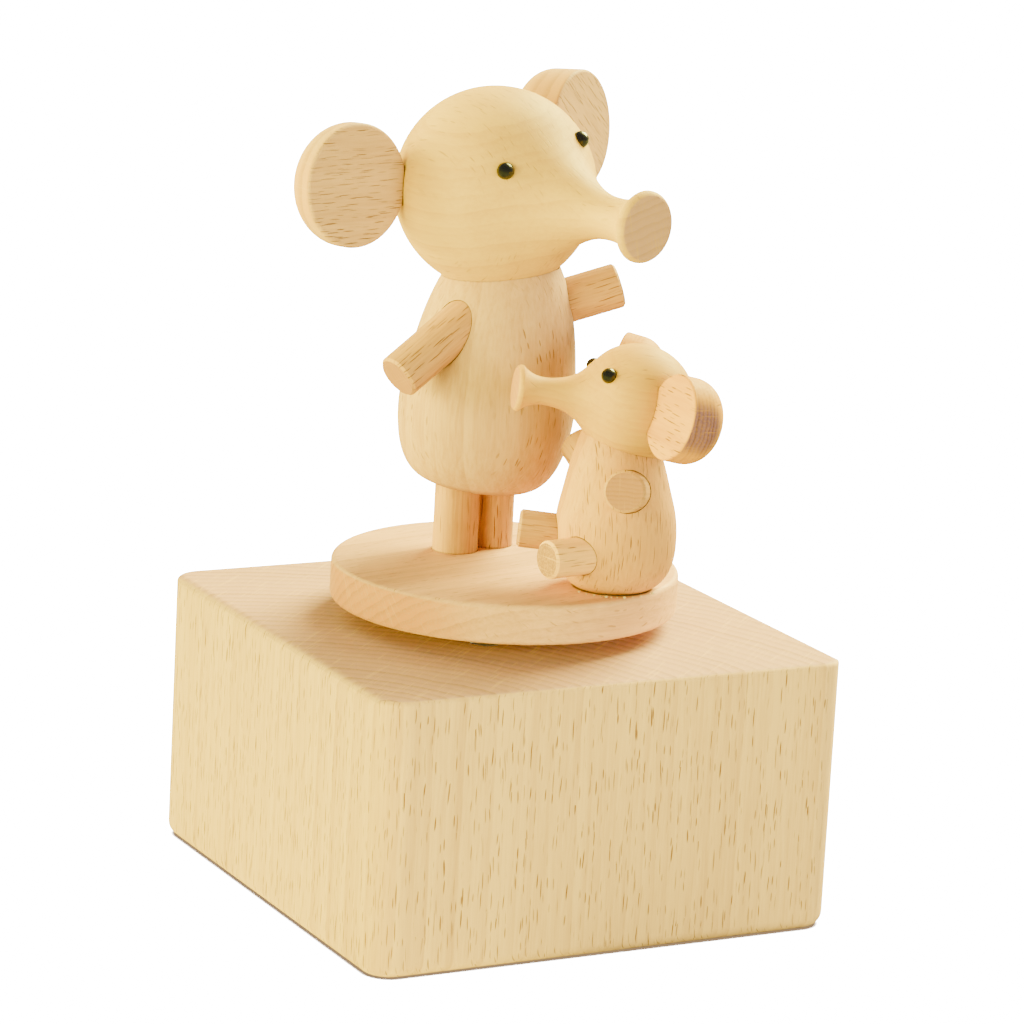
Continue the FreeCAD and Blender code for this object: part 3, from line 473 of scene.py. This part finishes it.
    def _rings(self, place: Socket, drawn_out: Socket) -> tuple[Socket, Socket]:
        """Growth rings round the pith.

        Args:
            place: Place in the wood in millimetres.
            drawn_out: The same place, squeezed along the grain.

        Returns:
            Mask of the thin line at the end of each year, and a tone that differs by the year.
        """
        bench, entry = self.bench, self.entry
        flat = bench.vector("MULTIPLY", place, (1.0, 1.0, 0.0))
        pith = bench.add("ShaderNodeCombineXYZ", {"Y": entry["Pith"]})
        radius = bench.vector("LENGTH", bench.vector("ADD", flat, pith.outputs[0]))
        sway = bench.math("SUBTRACT", bench.noise(drawn_out, *self.SWAY), 0.5)
        radius = bench.math("ADD", radius, bench.times(sway, entry["Waver"]))
        years = bench.math("DIVIDE", radius, entry["Ring Spacing"])
        share = bench.math("FRACT", years)
        fall = bench.inverse(bench.step(share, self.YEAR_RISE[1], 1.0))
        line = bench.times(bench.step(share, *self.YEAR_RISE), fall)
        year = bench.add("ShaderNodeTexWhiteNoise", {"W": bench.math("FLOOR", years)},
                         noise_dimensions="1D")
        weight = bench.times(year.outputs["Value"], 1.0 - self.FAINTEST_YEAR)
        line = bench.times(line, bench.math("ADD", self.FAINTEST_YEAR, weight))
        return line, year.outputs["Value"]

    def _flecks(self, place: Socket, size: float, offset: Triple) -> Socket:
        """Rays cut across: short dashes along the grain, one to a cell.

        Args:
            place: Place in the wood in millimetres.
            size: Size of the cells against the usual one.
            offset: Shift of the cells.

        Returns:
            Mask of the dashes.
        """
        bench, entry = self.bench, self.entry
        cell = tuple(size * side for side in self.CELL)
        shares = bench.vector("DIVIDE", bench.vector("ADD", place, offset), cell)
        cells = bench.add("ShaderNodeTexVoronoi", {"Vector": shares, "Scale": 1.0},
                          feature="F1", voronoi_dimensions="3D")
        away = bench.vector("MULTIPLY", bench.vector("SUBTRACT", shares, cells.outputs["Position"]),
                            cell)
        chance = bench.add("ShaderNodeSeparateColor", {0: cells.outputs["Color"]}).outputs
        growth = bench.math("ADD", self.SHORTEST_FLECK,
                            bench.times(chance["Blue"], self.LENGTH_SPREAD))
        reach = bench.add("ShaderNodeCombineXYZ", {
            "X": entry["Fleck Width"], "Y": self.RAY_LENGTH * size,
            "Z": bench.times(entry["Fleck Length"], growth, size)})
        far = bench.vector("LENGTH", bench.vector("DIVIDE", away, reach.outputs[0]))
        dash = bench.inverse(bench.step(far, *self.FLECK_EDGE))
        present = bench.math("LESS_THAN", chance["Red"], entry["Fleck Share"])
        strength = bench.math("ADD", self.FAINTEST_FLECK,
                              bench.times(chance["Green"], 1.0 - self.FAINTEST_FLECK))
        return bench.times(dash, present, strength)


class MarksGroup(EffectGroup):
    """Faint marks and unevenness of metal, plastic, bead and glue."""

    MARKS = (1.0, 4.0, 0.6)
    CLOUDS = (0.45, 3.0)
    CLOUD_STEP = (0.35, 0.70)

    def __init__(self) -> None:
        """Builds the node group."""
        super().__init__(
            "fine_marks",
            {"Place": (0.0, 0.0, 0.0), "Marks": (1.0, 1.0, 1.0), "Bright": (0.8, 0.8, 0.8, 1.0),
             "Dull": (0.6, 0.6, 0.6, 1.0)},
            {"Color": "NodeSocketColor", "Relief": "NodeSocketFloat", "Worn": "NodeSocketFloat"})
        bench, entry = self.bench, self.entry
        marks = bench.noise(bench.vector("MULTIPLY", entry["Place"], entry["Marks"]), *self.MARKS)
        worn = bench.step(bench.noise(entry["Place"], *self.CLOUDS), *self.CLOUD_STEP)
        share = bench.times(bench.math("ADD", worn, marks), 0.5)
        bench.fill(self.exit, {
            "Color": bench.blend(share, entry["Bright"], entry["Dull"]), "Relief": marks,
            "Worn": bench.math("SUBTRACT", share, 0.5)})


class CreaseShadeGroup(EffectGroup):
    """Painted shade: a dark line where pieces meet and in narrow crevices, read from ambient occlusion;
    faces that look straight down get none.
    """

    REACH = 0.45
    SAMPLES = 8
    OPEN_STEP = (0.30, 0.90)
    DOWN_STEP = (0.70, 0.95)
    # Colour of the painted shade in crevices.
    DIRT = (58, 33, 30)

    def __init__(self) -> None:
        """Builds the node group."""
        super().__init__(
            "joint_line",
            {"Clean Colour": (0.8, 0.6, 0.4, 1.0), "Normal": (0.0, 0.0, 1.0), "Strength": 0.7},
            {"Color": "NodeSocketColor"})
        bench, entry = self.bench, self.entry
        room = bench.add("ShaderNodeAmbientOcclusion", {"Distance": self.REACH * MILLIMETRE},
                         samples=self.SAMPLES)
        near = bench.inverse(bench.step(room.outputs["AO"], *self.OPEN_STEP))
        downward = bench.vector("DOT_PRODUCT", entry["Normal"], (0.0, 0.0, -1.0))
        # Share of painted shade: close to other surfaces, but not on faces that look down.
        crease_share = bench.times(near, bench.inverse(bench.step(downward, *self.DOWN_STEP)),
                           entry["Strength"])
        bench.fill(self.exit, {
            "Color": bench.blend(crease_share, entry["Clean Colour"], from_srgb(*self.DIRT))})


class PaintShop:
    """Makes the materials and keeps the ones that are already made."""

    RELIEF_STRENGTH = 0.55
    WOOD_RELIEF = 0.05
    WOOD_SHINE = 0.18
    # How dark the painted shade in crevices is.
    JOINT_STRENGTH = 0.75
    WORN_SHARE = 0.3

    def __init__(self) -> None:
        """Builds the shared node groups."""
        self.beech = BeechGroup()
        self.joint = CreaseShadeGroup()
        self.marks = MarksGroup()

    def _start(self, name: str) -> tuple[bpy.types.Material, Bench, bpy.types.Node]:
        """Starts a material.

        Args:
            name: Name of the material.

        Returns:
            The new material, its bench and its principled shader.
        """
        material = bpy.data.materials.new(name)
        material.use_nodes = True
        bench = Bench(material.node_tree)
        shader = material.node_tree.nodes["Principled BSDF"]
        return material, bench, shader

    def _relief(self, bench: Bench, shader: bpy.types.Node, height: Socket, depth: float) -> None:
        """Bumps the surface.

        Args:
            bench: Bench of the material.
            shader: Principled shader of the material.
            height: Height of the marks, where 1 is the full depth.
            depth: Depth of the marks in millimetres.
        """
        bump = bench.add("ShaderNodeBump", {
            "Strength": self.RELIEF_STRENGTH, "Distance": depth * MILLIMETRE, "Height": height})
        bench.fill(shader, {"Normal": bump.outputs["Normal"]})

    def wood(self, finish: BeechFinish, name: str, grain: Vector, centre: Vector,
             outward: Vector, turn: float = 0.0) -> bpy.types.Material:
        """Beech for one piece.

        Args:
            finish: Colours and sizes of the wood.
            name: Name of the piece.
            grain: Way that the grain runs.
            centre: Place that the pattern is centred on.
            outward: Rough way from the pith of the tree to the piece.
            turn: Shift of the pattern along the grain in metres, so that pieces differ.

        Returns:
            The material.
        """
        material, bench, shader = self._start(finish.name + "_" + name)
        along = grain.normalized()
        out = (outward - along * outward.dot(along)).normalized()
        axes = Matrix((out.cross(along), out, along)).transposed()
        source = bench.add("ShaderNodeTexCoord").outputs
        place = bench.add("ShaderNodeMapping", {
            "Vector": source["Object"], "Location": centre + along * turn,
            "Rotation": axes.to_euler(), "Scale": (MILLIMETRE,) * 3}, vector_type="TEXTURE")
        facing, across = (
            bench.math("ABSOLUTE", bench.vector("DOT_PRODUCT", source["Normal"], tuple(way)))
            for way in (along, out))
        beech = self.beech.place(
            bench, Place=place.outputs[0], End=bench.step(facing, *BeechGroup.END_STEP),
            Cut=bench.step(across, *BeechGroup.CUT_STEP), **finish.inputs()).outputs
        # Painted shade where the piece meets others and in its crevices.
        joint = self.joint.place(bench, Clean_Colour=beech["Color"], Normal=source["Normal"],
                                 Strength=self.JOINT_STRENGTH)
        bench.fill(shader, {
            "Base Color": joint.outputs["Color"], "Specular IOR Level": self.WOOD_SHINE,
            "Roughness": bench.math("ADD", beech["Dry"], finish.roughness)})
        self._relief(bench, shader, beech["Relief"], self.WOOD_RELIEF)
        return material

    def marked(self, finish: MetalFinish | SmoothFinish) -> bpy.types.Material:
        """Metal, plastic, bead or glue with faint marks.

        Args:
            finish: Colours, marks and gloss of the material.

        Returns:
            The material, made on the first call.
        """
        found = bpy.data.materials.get(finish.name)
        if found:
            return found
        material, bench, shader = self._start(finish.name)
        source = bench.add("ShaderNodeTexCoord")
        place = bench.vector("MULTIPLY", source.outputs["Object"], (1.0 / MILLIMETRE,) * 3)
        marks = self.marks.place(bench, Place=place, Marks=finish.scale,
                                 Bright=from_srgb(*finish.bright),
                                 Dull=from_srgb(*finish.dull)).outputs
        worn = bench.times(marks["Worn"], self.WORN_SHARE)
        bench.fill(shader, {"Base Color": marks["Color"],
                            "Roughness": bench.math("ADD", worn, finish.roughness)})
        bench.fill(shader, finish.gloss())
        self._relief(bench, shader, marks["Relief"], finish.relief)
        return material


def smooth_copy(node: str, body: str) -> bpy.types.Object:
    """A finely shaded piece in place of a solid of the frame.

    Args:
        node: Name of the solid.
        body: Body that it moves with.

    Returns:
        The new piece.
    """
    work = bmesh.new()
    work.from_mesh(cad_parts[node].data)
    bmesh.ops.remove_doubles(work, verts=work.verts, dist=MERGE_DISTANCE)
    bmesh.ops.recalc_face_normals(work, faces=work.faces)
    for face in work.faces:
        face.smooth = True
    for edge in work.edges:
        edge.smooth = len(edge.link_faces) == 2 and edge.calc_face_angle() < math.radians(SHARP_DEGREES)
    piece = finish_piece(work, node + "_shown", body)
    modifier = piece.modifiers.new("even_shading", "WEIGHTED_NORMAL")
    modifier.keep_sharp = True
    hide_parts(node)
    return piece


def finish_piece(work: bmesh.types.BMesh, name: str, body: str) -> bpy.types.Object:
    """Turns a finished bmesh into a piece that rides on a body.

    Args:
        work: The bmesh, which is used up.
        name: Name of the piece.
        body: Body that the piece moves with.

    Returns:
        The new piece.
    """
    mesh = bpy.data.meshes.new(name)
    work.to_mesh(mesh)
    work.free()
    piece = bpy.data.objects.new(name, mesh)
    bpy.context.scene.collection.objects.link(piece)
    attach(piece, body)
    return piece


def dress(piece: bpy.types.Object, material: bpy.types.Material) -> None:
    """Gives a piece its only material."""
    piece.data.materials.clear()
    piece.data.materials.append(material)


def middle(node: str) -> Vector:
    """Centre of a solid's box."""
    low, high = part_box(node)
    return (low + high) / 2


def long_axis(node: str) -> Vector:
    """Finds how a dowel lies, from the spread of its corners.

    Args:
        node: Name of the solid.

    Returns:
        The dowel's long direction.
    """
    points = np.array([corner.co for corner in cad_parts[node].data.vertices])
    points = np.unique(points.round(MERGE_DIGITS), axis=0)
    spread = np.linalg.svd(points - points.mean(axis=0), full_matrices=False)[2]
    span = (points - points.mean(axis=0)) @ spread.T
    lengths = span.max(axis=0) - span.min(axis=0)
    return Vector(spread[int(np.argmax(lengths))])


@dataclass
class Block:
    """The solid block with its cover, which stands still."""

    shop: PaintShop
    body: str = "base"
    outward: Vector = field(default_factory=lambda: Vector((0.74, 0.67, 0.0)))

    def build(self) -> None:
        """Replaces the block's solids by finely shaded pieces."""
        self.block = smooth_copy("base_block", self.body)
        self.cover = smooth_copy("bottom_cover", self.body)

    def dress(self) -> None:
        """Block with upright grain, cover with the grain across."""
        centre = middle("base_block")
        dress(self.block, self.shop.wood(BLOCK_BEECH, "block", UP, centre, self.outward))
        dress(self.cover, self.shop.wood(COVER_BEECH, "cover", Vector((1, 0, 0)), centre, UP))


@dataclass
class Turntable:
    """The round plate that the figures stand on."""

    shop: PaintShop
    body: str = "turntable"
    grain: Vector = field(default_factory=lambda: Vector((0.97, 0.22, 0.0)))
    outward: Vector = field(default_factory=lambda: Vector((-0.12, 0.55, 0.82)))

    def build(self) -> None:
        """Replaces the plate by a finely shaded piece."""
        self.plate = smooth_copy("turntable_plate", self.body)

    def dress(self) -> None:
        """Plate with the grain level."""
        dress(self.plate, self.shop.wood(PLATE_BEECH, "plate", self.grain,
                                         middle("turntable_plate"), self.outward))


@dataclass(frozen=True)
class PieceLook:
    """Finish and lie of the grain of one wooden piece of a figure; the turn in metres."""

    finish: BeechFinish
    grain: Grain
    outward: Triple = (-0.47, -0.88, 0.0)
    turn: float = 0.0


@dataclass
class Elephant:
    """A turned figure: body, head, ears, limbs and bead eyes; angles in degrees."""

    shop: PaintShop
    name: str
    heading: float
    trunk_pitch: float
    ears: dict[str, tuple[float, float]]
    looks: dict[str, PieceLook]
    body: str = "turntable"
    slot: str = "figure_beech"
    pieces: dict[str, bpy.types.Object] = field(default_factory=dict)

    BEAD = SmoothFinish("black_bead", (2, 2, 3), (5, 5, 6), 0.10, relief=0.001, shine=0.3,
                        tint=(0.6, 0.63, 1.0))
    SIDES = ("right", "left")
    NECK_OUTWARD = (0.5, 0.87, 0.0)

    def build(self) -> None:
        """Replaces each wooden solid and bead by a finely shaded piece."""
        for part in self.looks:
            self.pieces[part] = smooth_copy(f"{self.name}_{part}", self.body)
        for side in self.SIDES:
            part = "eye_" + side
            self.pieces[part] = smooth_copy(f"{self.name}_{part}", self.body)

    def dress(self) -> None:
        """Gives each piece its wood and each eye its bead."""
        for part, look in self.looks.items():
            node = f"{self.name}_{part}"
            grain = self._grain(part, look.grain)
            outward = self._ear_axes(part)[1] if look.grain is Grain.ACROSS_EAR \
                else Vector(look.outward)
            dress(self.pieces[part], self.shop.wood(look.finish, node, grain, middle(node), outward,
                                                    look.turn))
        for side in self.SIDES:
            dress(self.pieces["eye_" + side], self.shop.marked(self.BEAD))
        dowel = self.name + "_neck_dowel"
        dress(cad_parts[dowel], self.shop.wood(DOWEL_BEECH, dowel, UP, middle(dowel),
                                                    Vector(self.NECK_OUTWARD)))

    def _grain(self, part: str, grain: Grain) -> Vector:
        """Finds how the grain of a piece runs.

        Args:
            part: Name of the piece without the figure's name.
            grain: Way that the grain was chosen to run.

        Returns:
            The grain's direction.
        """
        if grain is Grain.ALONG_TRUNK:
            return self._head() @ Vector((0, 1, 0))
        if grain is Grain.ACROSS_EAR:
            return self._ear_axes(part)[0]
        if grain is Grain.ALONG_DOWEL:
            return long_axis(f"{self.name}_{part}")
        return UP

    def _head(self) -> Matrix:
        """The head's axes: X on its right and Y along the trunk."""
        return Matrix.Rotation(math.radians(self.heading), 3, "Z") \
            @ Matrix.Rotation(math.radians(self.trunk_pitch), 3, "X")

    def _ear_axes(self, part: str) -> tuple[Vector, Vector]:
        """Finds how an ear lies.

        Args:
            part: Name of the ear without the figure's name.

        Returns:
            The lie of the grain across the ear's face, and the way that the face looks.
        """
        sweep, lie = self.ears[part]
        axes = self._head() @ Matrix.Rotation(math.radians(sweep), 3, "Z")
        across = axes @ Matrix.Rotation(math.radians(lie), 3, "Y") @ Vector((1, 0, 0))
        return across, axes @ Vector((0, 1, 0))


@dataclass
class Glue:
    """Dried beads of glue that were squeezed out along the front of the baby's foot.

    The arc is given in degrees, and the other sizes are in millimetres.
    """

    shop: PaintShop
    body: str = "turntable"
    first: float = -165.0
    last: float = -62.0
    count: int = 12

    BEAD = SmoothFinish("dried_glue", (214, 196, 170), (190, 164, 130), 0.35,
                        scale=(2.5, 2.5, 2.5))
    FOOT_RADIUS = 7.3
    SIZES = (0.26, 0.13, 0.20, 0.10, 0.30, 0.16, 0.12)
    SQUASH = 0.7
    SUNK = 0.45
    STANDS_OUT = 0.5
    STRAY = 0.45
    STRAY_STEP = 7.0

    def build(self) -> None:
        """Sets small squashed beads of uneven size on an arc round the foot."""
        low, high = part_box("baby_body")
        work = bmesh.new()
        for number in range(self.count):
            stray = self.STRAY * math.sin(self.STRAY_STEP * number)
            share = (number + stray) / (self.count - 1)
            turn = math.radians(self.first + share * (self.last - self.first))
            size = self.SIZES[number % len(self.SIZES)] * MILLIMETRE
            reach = self.FOOT_RADIUS * MILLIMETRE + self.STANDS_OUT * size
            place = Vector(((low.x + high.x) / 2 + reach * math.cos(turn),
                            (low.y + high.y) / 2 + reach * math.sin(turn),
                            low.z + self.SUNK * size * self.SQUASH))
            form = Matrix.Translation(place) @ Matrix.Diagonal((size, size, size * self.SQUASH, 1))
            bmesh.ops.create_icosphere(work, subdivisions=2, radius=1.0, matrix=form)
        for face in work.faces:
            face.smooth = True
        self.beads = finish_piece(work, "baby_foot_glue", self.body)

    def dress(self) -> None:
        """Milky glue."""
        dress(self.beads, self.shop.marked(self.BEAD))


# Sweep of each ear away from the head's cross axis and lie of its grain, in degrees.
MOTHER_EARS = {"ear_right": (-2.1, 0.0), "ear_left": (18.4, -40.0)}
BABY_EARS = {"ear_right": (-21.0, 0.0), "ear_left": (18.1, 0.0)}
MOTHER_LOOKS = {
    "body": PieceLook(BODY_BEECH, Grain.UPRIGHT, (0.75, -0.66, 0.0)),
    "head": PieceLook(HEAD_BEECH, Grain.ALONG_TRUNK, (-0.3, 0.2, 0.93), 0.011),
    "ear_right": PieceLook(EAR_BEECH, Grain.ACROSS_EAR, turn=0.017),
    "ear_left": PieceLook(EAR_BEECH, Grain.ACROSS_EAR, turn=0.031),
    "arm_right": PieceLook(DOWEL_BEECH, Grain.ALONG_DOWEL, turn=0.023),
    "arm_left": PieceLook(DOWEL_BEECH, Grain.ALONG_DOWEL, turn=0.046),
    "leg_right": PieceLook(DOWEL_BEECH, Grain.ALONG_DOWEL, (0.9, -0.4, 0.0), 0.069),
    "leg_left": PieceLook(DOWEL_BEECH, Grain.ALONG_DOWEL, turn=0.092)}
BABY_LOOKS = {
    "body": PieceLook(BABY_BEECH, Grain.UPRIGHT, (-0.2, -0.98, 0.0), 0.013),
    "head": PieceLook(BABY_HEAD_BEECH, Grain.ALONG_TRUNK, (0.2, -0.3, 0.93), 0.027),
    "ear_right": PieceLook(BROWN_EAR_BEECH, Grain.ACROSS_EAR, turn=0.019),
    "ear_left": PieceLook(BROWN_EAR_BEECH, Grain.ACROSS_EAR, turn=0.038),
    "arm_right": PieceLook(DOWEL_BEECH, Grain.ALONG_DOWEL, turn=0.057),
    "arm_left": PieceLook(DOWEL_BEECH, Grain.ALONG_DOWEL, (0.0, 0.1, 1.0), 0.076),
    "leg_right": PieceLook(DOWEL_BEECH, Grain.ALONG_DOWEL, turn=0.095),
    # The left leg's paler wood is painted light.
    "leg_left": PieceLook(DOWEL_BEECH_PAINTED_LIGHT, Grain.ALONG_DOWEL, turn=0.114)}


@dataclass
class Movement:
    """The metal works that are hidden in the block."""

    shop: PaintShop

    STEEL = MetalFinish("bright_steel", (196, 197, 200), (150, 151, 154))
    SPRING = MetalFinish("blued_spring", (122, 126, 134), (84, 88, 98), roughness=0.28)
    BRASS = MetalFinish("brass_work", (222, 186, 108), (186, 146, 74))
    CASTING = MetalFinish("cast_metal", (158, 158, 156), (118, 118, 117), (1.4, 1.4, 1.4), 0.48,
                          0.03)
    BLACKENED = MetalFinish("blackened_steel", (58, 56, 54), (36, 34, 33), roughness=0.55)
    PLASTIC = SmoothFinish("moulded_plastic", (228, 225, 214), (210, 206, 192), 0.45)
    NODES = {
        BRASS: ("drive_gear", "cylinder_drum", "cylinder_pinion", "cylinder_gear", "governor_pinion"),
        CASTING: ("bedplate", "cylinder_bearing"),
        BLACKENED: ("plate_flange", "flange_screws"),
        PLASTIC: ("worm_wheel", "air_brake"),
        SPRING: ("mainspring",)}

    def dress(self) -> None:
        """Gives every solid of the works its finish, which is bright steel if nothing else is said."""
        finishes = {name: finish for finish, names in self.NODES.items() for name in names}
        for name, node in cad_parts.items():
            if not node.hide_render and not name.endswith("_neck_dowel"):
                dress(node, self.shop.marked(finishes.get(name, self.STEEL)))


class Reach(Enum):
    """What a panel shines on."""

    ALL = "everything"
    WOOD = "everything but the beads"
    FIGURES = "only the wood of the figures"


@dataclass(frozen=True)
class Panel:
    """A square soft light; lengths in metres.

    The strength is the brightness that it gives to a white face turned to it.
    """

    name: str
    way: Triple
    size: float
    strength: float
    blue: float
    reach: Reach = Reach.WOOD
    distance: float = 1.5


@dataclass
class Studio:
    """Camera, floor and soft light; lengths in metres, angles in degrees, lens in millimetres."""

    target: Vector = field(default_factory=lambda: Vector((0.00544, 0.00863, 0.06066)))
    distance: float = 0.767
    azimuth: float = -28.205
    elevation: float = 13.562
    roll: float = 3.08
    lens: float = 161.6
    sensor: float = 36.0
    clip: tuple[float, float] = (0.05, 50.0)
    neutral: Triple = (1.0, 1.0, 1.0)
    surround: float = 0.22
    # Red and green of every lamp and of the floor's light; only their blue differs.
    warm: tuple[float, float] = (1.0, 0.95)
    panels: tuple[Panel, ...] = (
        Panel("key", (-0.94, -0.31, 0.06), size=0.9, strength=3.4, blue=0.10),
        Panel("figures", (-0.86, 0.45, 0.30), size=0.9, strength=4.4, blue=0.08,
              reach=Reach.FIGURES),
        Panel("fill", (0.38, -0.92, 0.06), size=0.9, strength=2.05, blue=0.42),
        Panel("back", (-0.30, 0.80, 0.50), size=1.2, strength=1.2, blue=0.20),
        Panel("rear", (0.70, 0.34, 0.60), size=0.9, strength=8.4, blue=0.25, reach=Reach.ALL))
    floor_radius: float = 6.0
    floor_sides: int = 96
    floor_tone: Triple = (0.20, 0.20, 0.20)
    floor_roughness: float = 0.9
    floor_shine: float = 0.1
    floor_glow: float = 24.0
    bounce_blue: float = 0.12
    bounce_lean: Triple = (-3.9, 0.0, 0.0)
    hidden_radius: float = 0.041
    under_glow: float = 1.6
    # Painted contact shadow: the floor's glow turns brown where ambient occlusion finds the block
    # close.
    contact_reach: float = 0.0008
    contact_samples: int = 8
    contact_step: tuple[float, float] = (0.50, 0.90)
    contact_tone: Triple = (0.42, 0.27, 0.14)
    reached: dict[Reach, bpy.types.Collection] = field(default_factory=lambda: {
        reach: bpy.data.collections.new(reach.value) for reach in (Reach.WOOD, Reach.FIGURES)})

    def place_camera(self) -> None:
        """Sets the camera at the photograph's viewing angle."""
        data = bpy.data.cameras.new("camera")
        data.lens = self.lens
        data.sensor_width = self.sensor
        data.clip_start, data.clip_end = self.clip
        camera = bpy.data.objects.new("camera", data)
        turn, lift = math.radians(self.azimuth), math.radians(self.elevation)
        back = Vector((math.sin(turn) * math.cos(lift), -math.cos(turn) * math.cos(lift),
                       math.sin(lift)))
        look = (-back).to_track_quat("-Z", "Y").to_matrix()
        look = look @ Matrix.Rotation(math.radians(self.roll), 3, "Z")
        camera.matrix_world = Matrix.Translation(self.target + back * self.distance) @ look.to_4x4()
        bpy.context.scene.collection.objects.link(camera)
        bpy.context.scene.camera = camera

    def lay_floor(self) -> None:
        """A pale round floor under the box, clear when it is seen from below."""
        work = bmesh.new()
        bmesh.ops.create_circle(work, cap_ends=True, segments=self.floor_sides,
                                radius=self.floor_radius)
        mesh = bpy.data.meshes.new("floor")
        work.to_mesh(mesh)
        work.free()
        floor = bpy.data.objects.new("floor", mesh)
        bpy.context.scene.collection.objects.link(floor)
        dress(floor, self._floor_paint())

    def _floor_paint(self) -> bpy.types.Material:
        """Makes the floor's material, whose glow only the camera sees.

        Returns:
            The material.
        """
        material = bpy.data.materials.new("floor_white")
        material.use_nodes = True
        bench = Bench(material.node_tree)
        nodes = material.node_tree.nodes
        rays = bench.add("ShaderNodeLightPath").outputs
        shader = nodes["Principled BSDF"]
        bench.fill(shader, {
            "Base Color": self.floor_tone + (1.0,), "Roughness": self.floor_roughness,
            "Specular IOR Level": self.floor_shine,
            "Emission Color": self.warm + (self.bounce_blue, 1.0),
            "Emission Strength": bench.times(self._bounce(bench),
                                             bench.inverse(rays["Is Glossy Ray"]))})
        above = bench.add("ShaderNodeMixShader", {
            0: rays["Is Camera Ray"], 1: shader.outputs[0], 2: self._glow(bench)})
        below = bench.add("ShaderNodeBsdfTransparent")
        whole = bench.add("ShaderNodeMixShader", {
            0: bench.add("ShaderNodeNewGeometry").outputs["Backfacing"],
            1: above.outputs[0], 2: below.outputs[0]})
        bench.fill(nodes["Material Output"], {"Surface": whole.outputs[0]})
        return material

    def _bounce(self, bench: Bench) -> Socket:
        """Light that the floor throws on the box: from one side, and evenly under the block.

        Args:
            bench: Bench of the floor's material.

        Returns:
            The socket of the light's strength.
        """
        place = bench.add("ShaderNodeTexCoord").outputs["Object"]
        lean = bench.vector("DOT_PRODUCT", bench.vector("NORMALIZE", place), self.bounce_lean)
        under = bench.math("LESS_THAN", bench.vector("LENGTH", place), self.hidden_radius)
        outside = bench.times(bench.math("MAXIMUM", lean, 0.0), bench.inverse(under))
        return bench.math("MAXIMUM", outside, bench.times(under, self.under_glow))

    def _glow(self, bench: Bench) -> Socket:
        """Even white of the floor, with a painted contact shadow: a brown line where the block stands
        on it.

        Args:
            bench: Bench of the floor's material.

        Returns:
            The glow's socket.
        """
        room = bench.add("ShaderNodeAmbientOcclusion", {"Distance": self.contact_reach},
                         samples=self.contact_samples)
        clear = bench.step(room.outputs["AO"], *self.contact_step)
        return bench.add("ShaderNodeEmission", {
            "Color": bench.blend(clear, self.contact_tone + (1.0,), self.neutral + (1.0,)),
            "Strength": bench.math("ADD", 1.0, bench.times(clear, self.floor_glow))}).outputs[0]

    def light(self) -> None:
        """Faint white surroundings and the soft panels."""
        world = bpy.data.worlds.new("studio")
        bpy.context.scene.world = world
        world.use_nodes = True
        background = world.node_tree.nodes["Background"]
        background.inputs["Color"].default_value = self.neutral + (1.0,)
        background.inputs["Strength"].default_value = self.surround
        for panel in self.panels:
            self._hang(panel)

    def _hang(self, panel: Panel) -> None:
        """Hangs a panel so that it faces the figures.

        Args:
            panel: The panel.
        """
        data = bpy.data.lights.new(panel.name, "AREA")
        data.size = panel.size
        data.energy = panel.strength * (math.pi * panel.distance) ** 2
        data.color = self.warm + (panel.blue,)
        lamp = bpy.data.objects.new(panel.name, data)
        way = Vector(panel.way).normalized()
        lamp.location = self.target + way * panel.distance
        lamp.rotation_euler = (-way).to_track_quat("-Z", "Y").to_euler()
        bpy.context.scene.collection.objects.link(lamp)
        if panel.reach is not Reach.ALL:
            lamp.light_linking.receiver_collection = self.reached[panel.reach]

    def share_light(self, figures: list[Elephant]) -> None:
        """Keeps all panels but the rear one off the beads, and one of them on the figures only.

        Args:
            figures: The two elephants.
        """
        for figure in figures:
            for part, piece in figure.pieces.items():
                if part.startswith("eye"):
                    self._link(Reach.WOOD, piece, "EXCLUDE")
                else:
                    self._link(Reach.FIGURES, piece, "INCLUDE")

    def _link(self, reach: Reach, piece: bpy.types.Object, state: str) -> None:
        """Puts a piece on the list of one kind of panel.

        Args:
            reach: Kind of panel.
            piece: Piece that is listed.
            state: Whether the list takes the piece in, INCLUDE, or leaves it out, EXCLUDE.
        """
        listed = self.reached[reach]
        listed.objects.link(piece)
        listed.collection_objects[-1].light_linking.link_state = state


def main() -> None:
    """Builds and dresses the music box in order."""
    logging.basicConfig(level=logging.INFO, format="%(name)s: %(message)s")
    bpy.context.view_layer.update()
    studio = Studio()
    studio.place_camera()
    studio.lay_floor()
    studio.light()
    shop = PaintShop()
    makes = [Block(shop), Turntable(shop),
             Elephant(shop, "mother", heading=-164.9, trunk_pitch=-1.2, ears=MOTHER_EARS,
                      looks=MOTHER_LOOKS),
             Elephant(shop, "baby", heading=71.0, trunk_pitch=6.4, ears=BABY_EARS, looks=BABY_LOOKS),
             Glue(shop)]
    for make in makes:
        make.build()
        make.dress()
        log.info("built %s", getattr(make, "name", type(make).__name__.lower()))
    studio.share_light([make for make in makes if isinstance(make, Elephant)])
    Movement(shop).dress()
    log.info("dressed the movement")


if __name__ == "__main__":
    main()
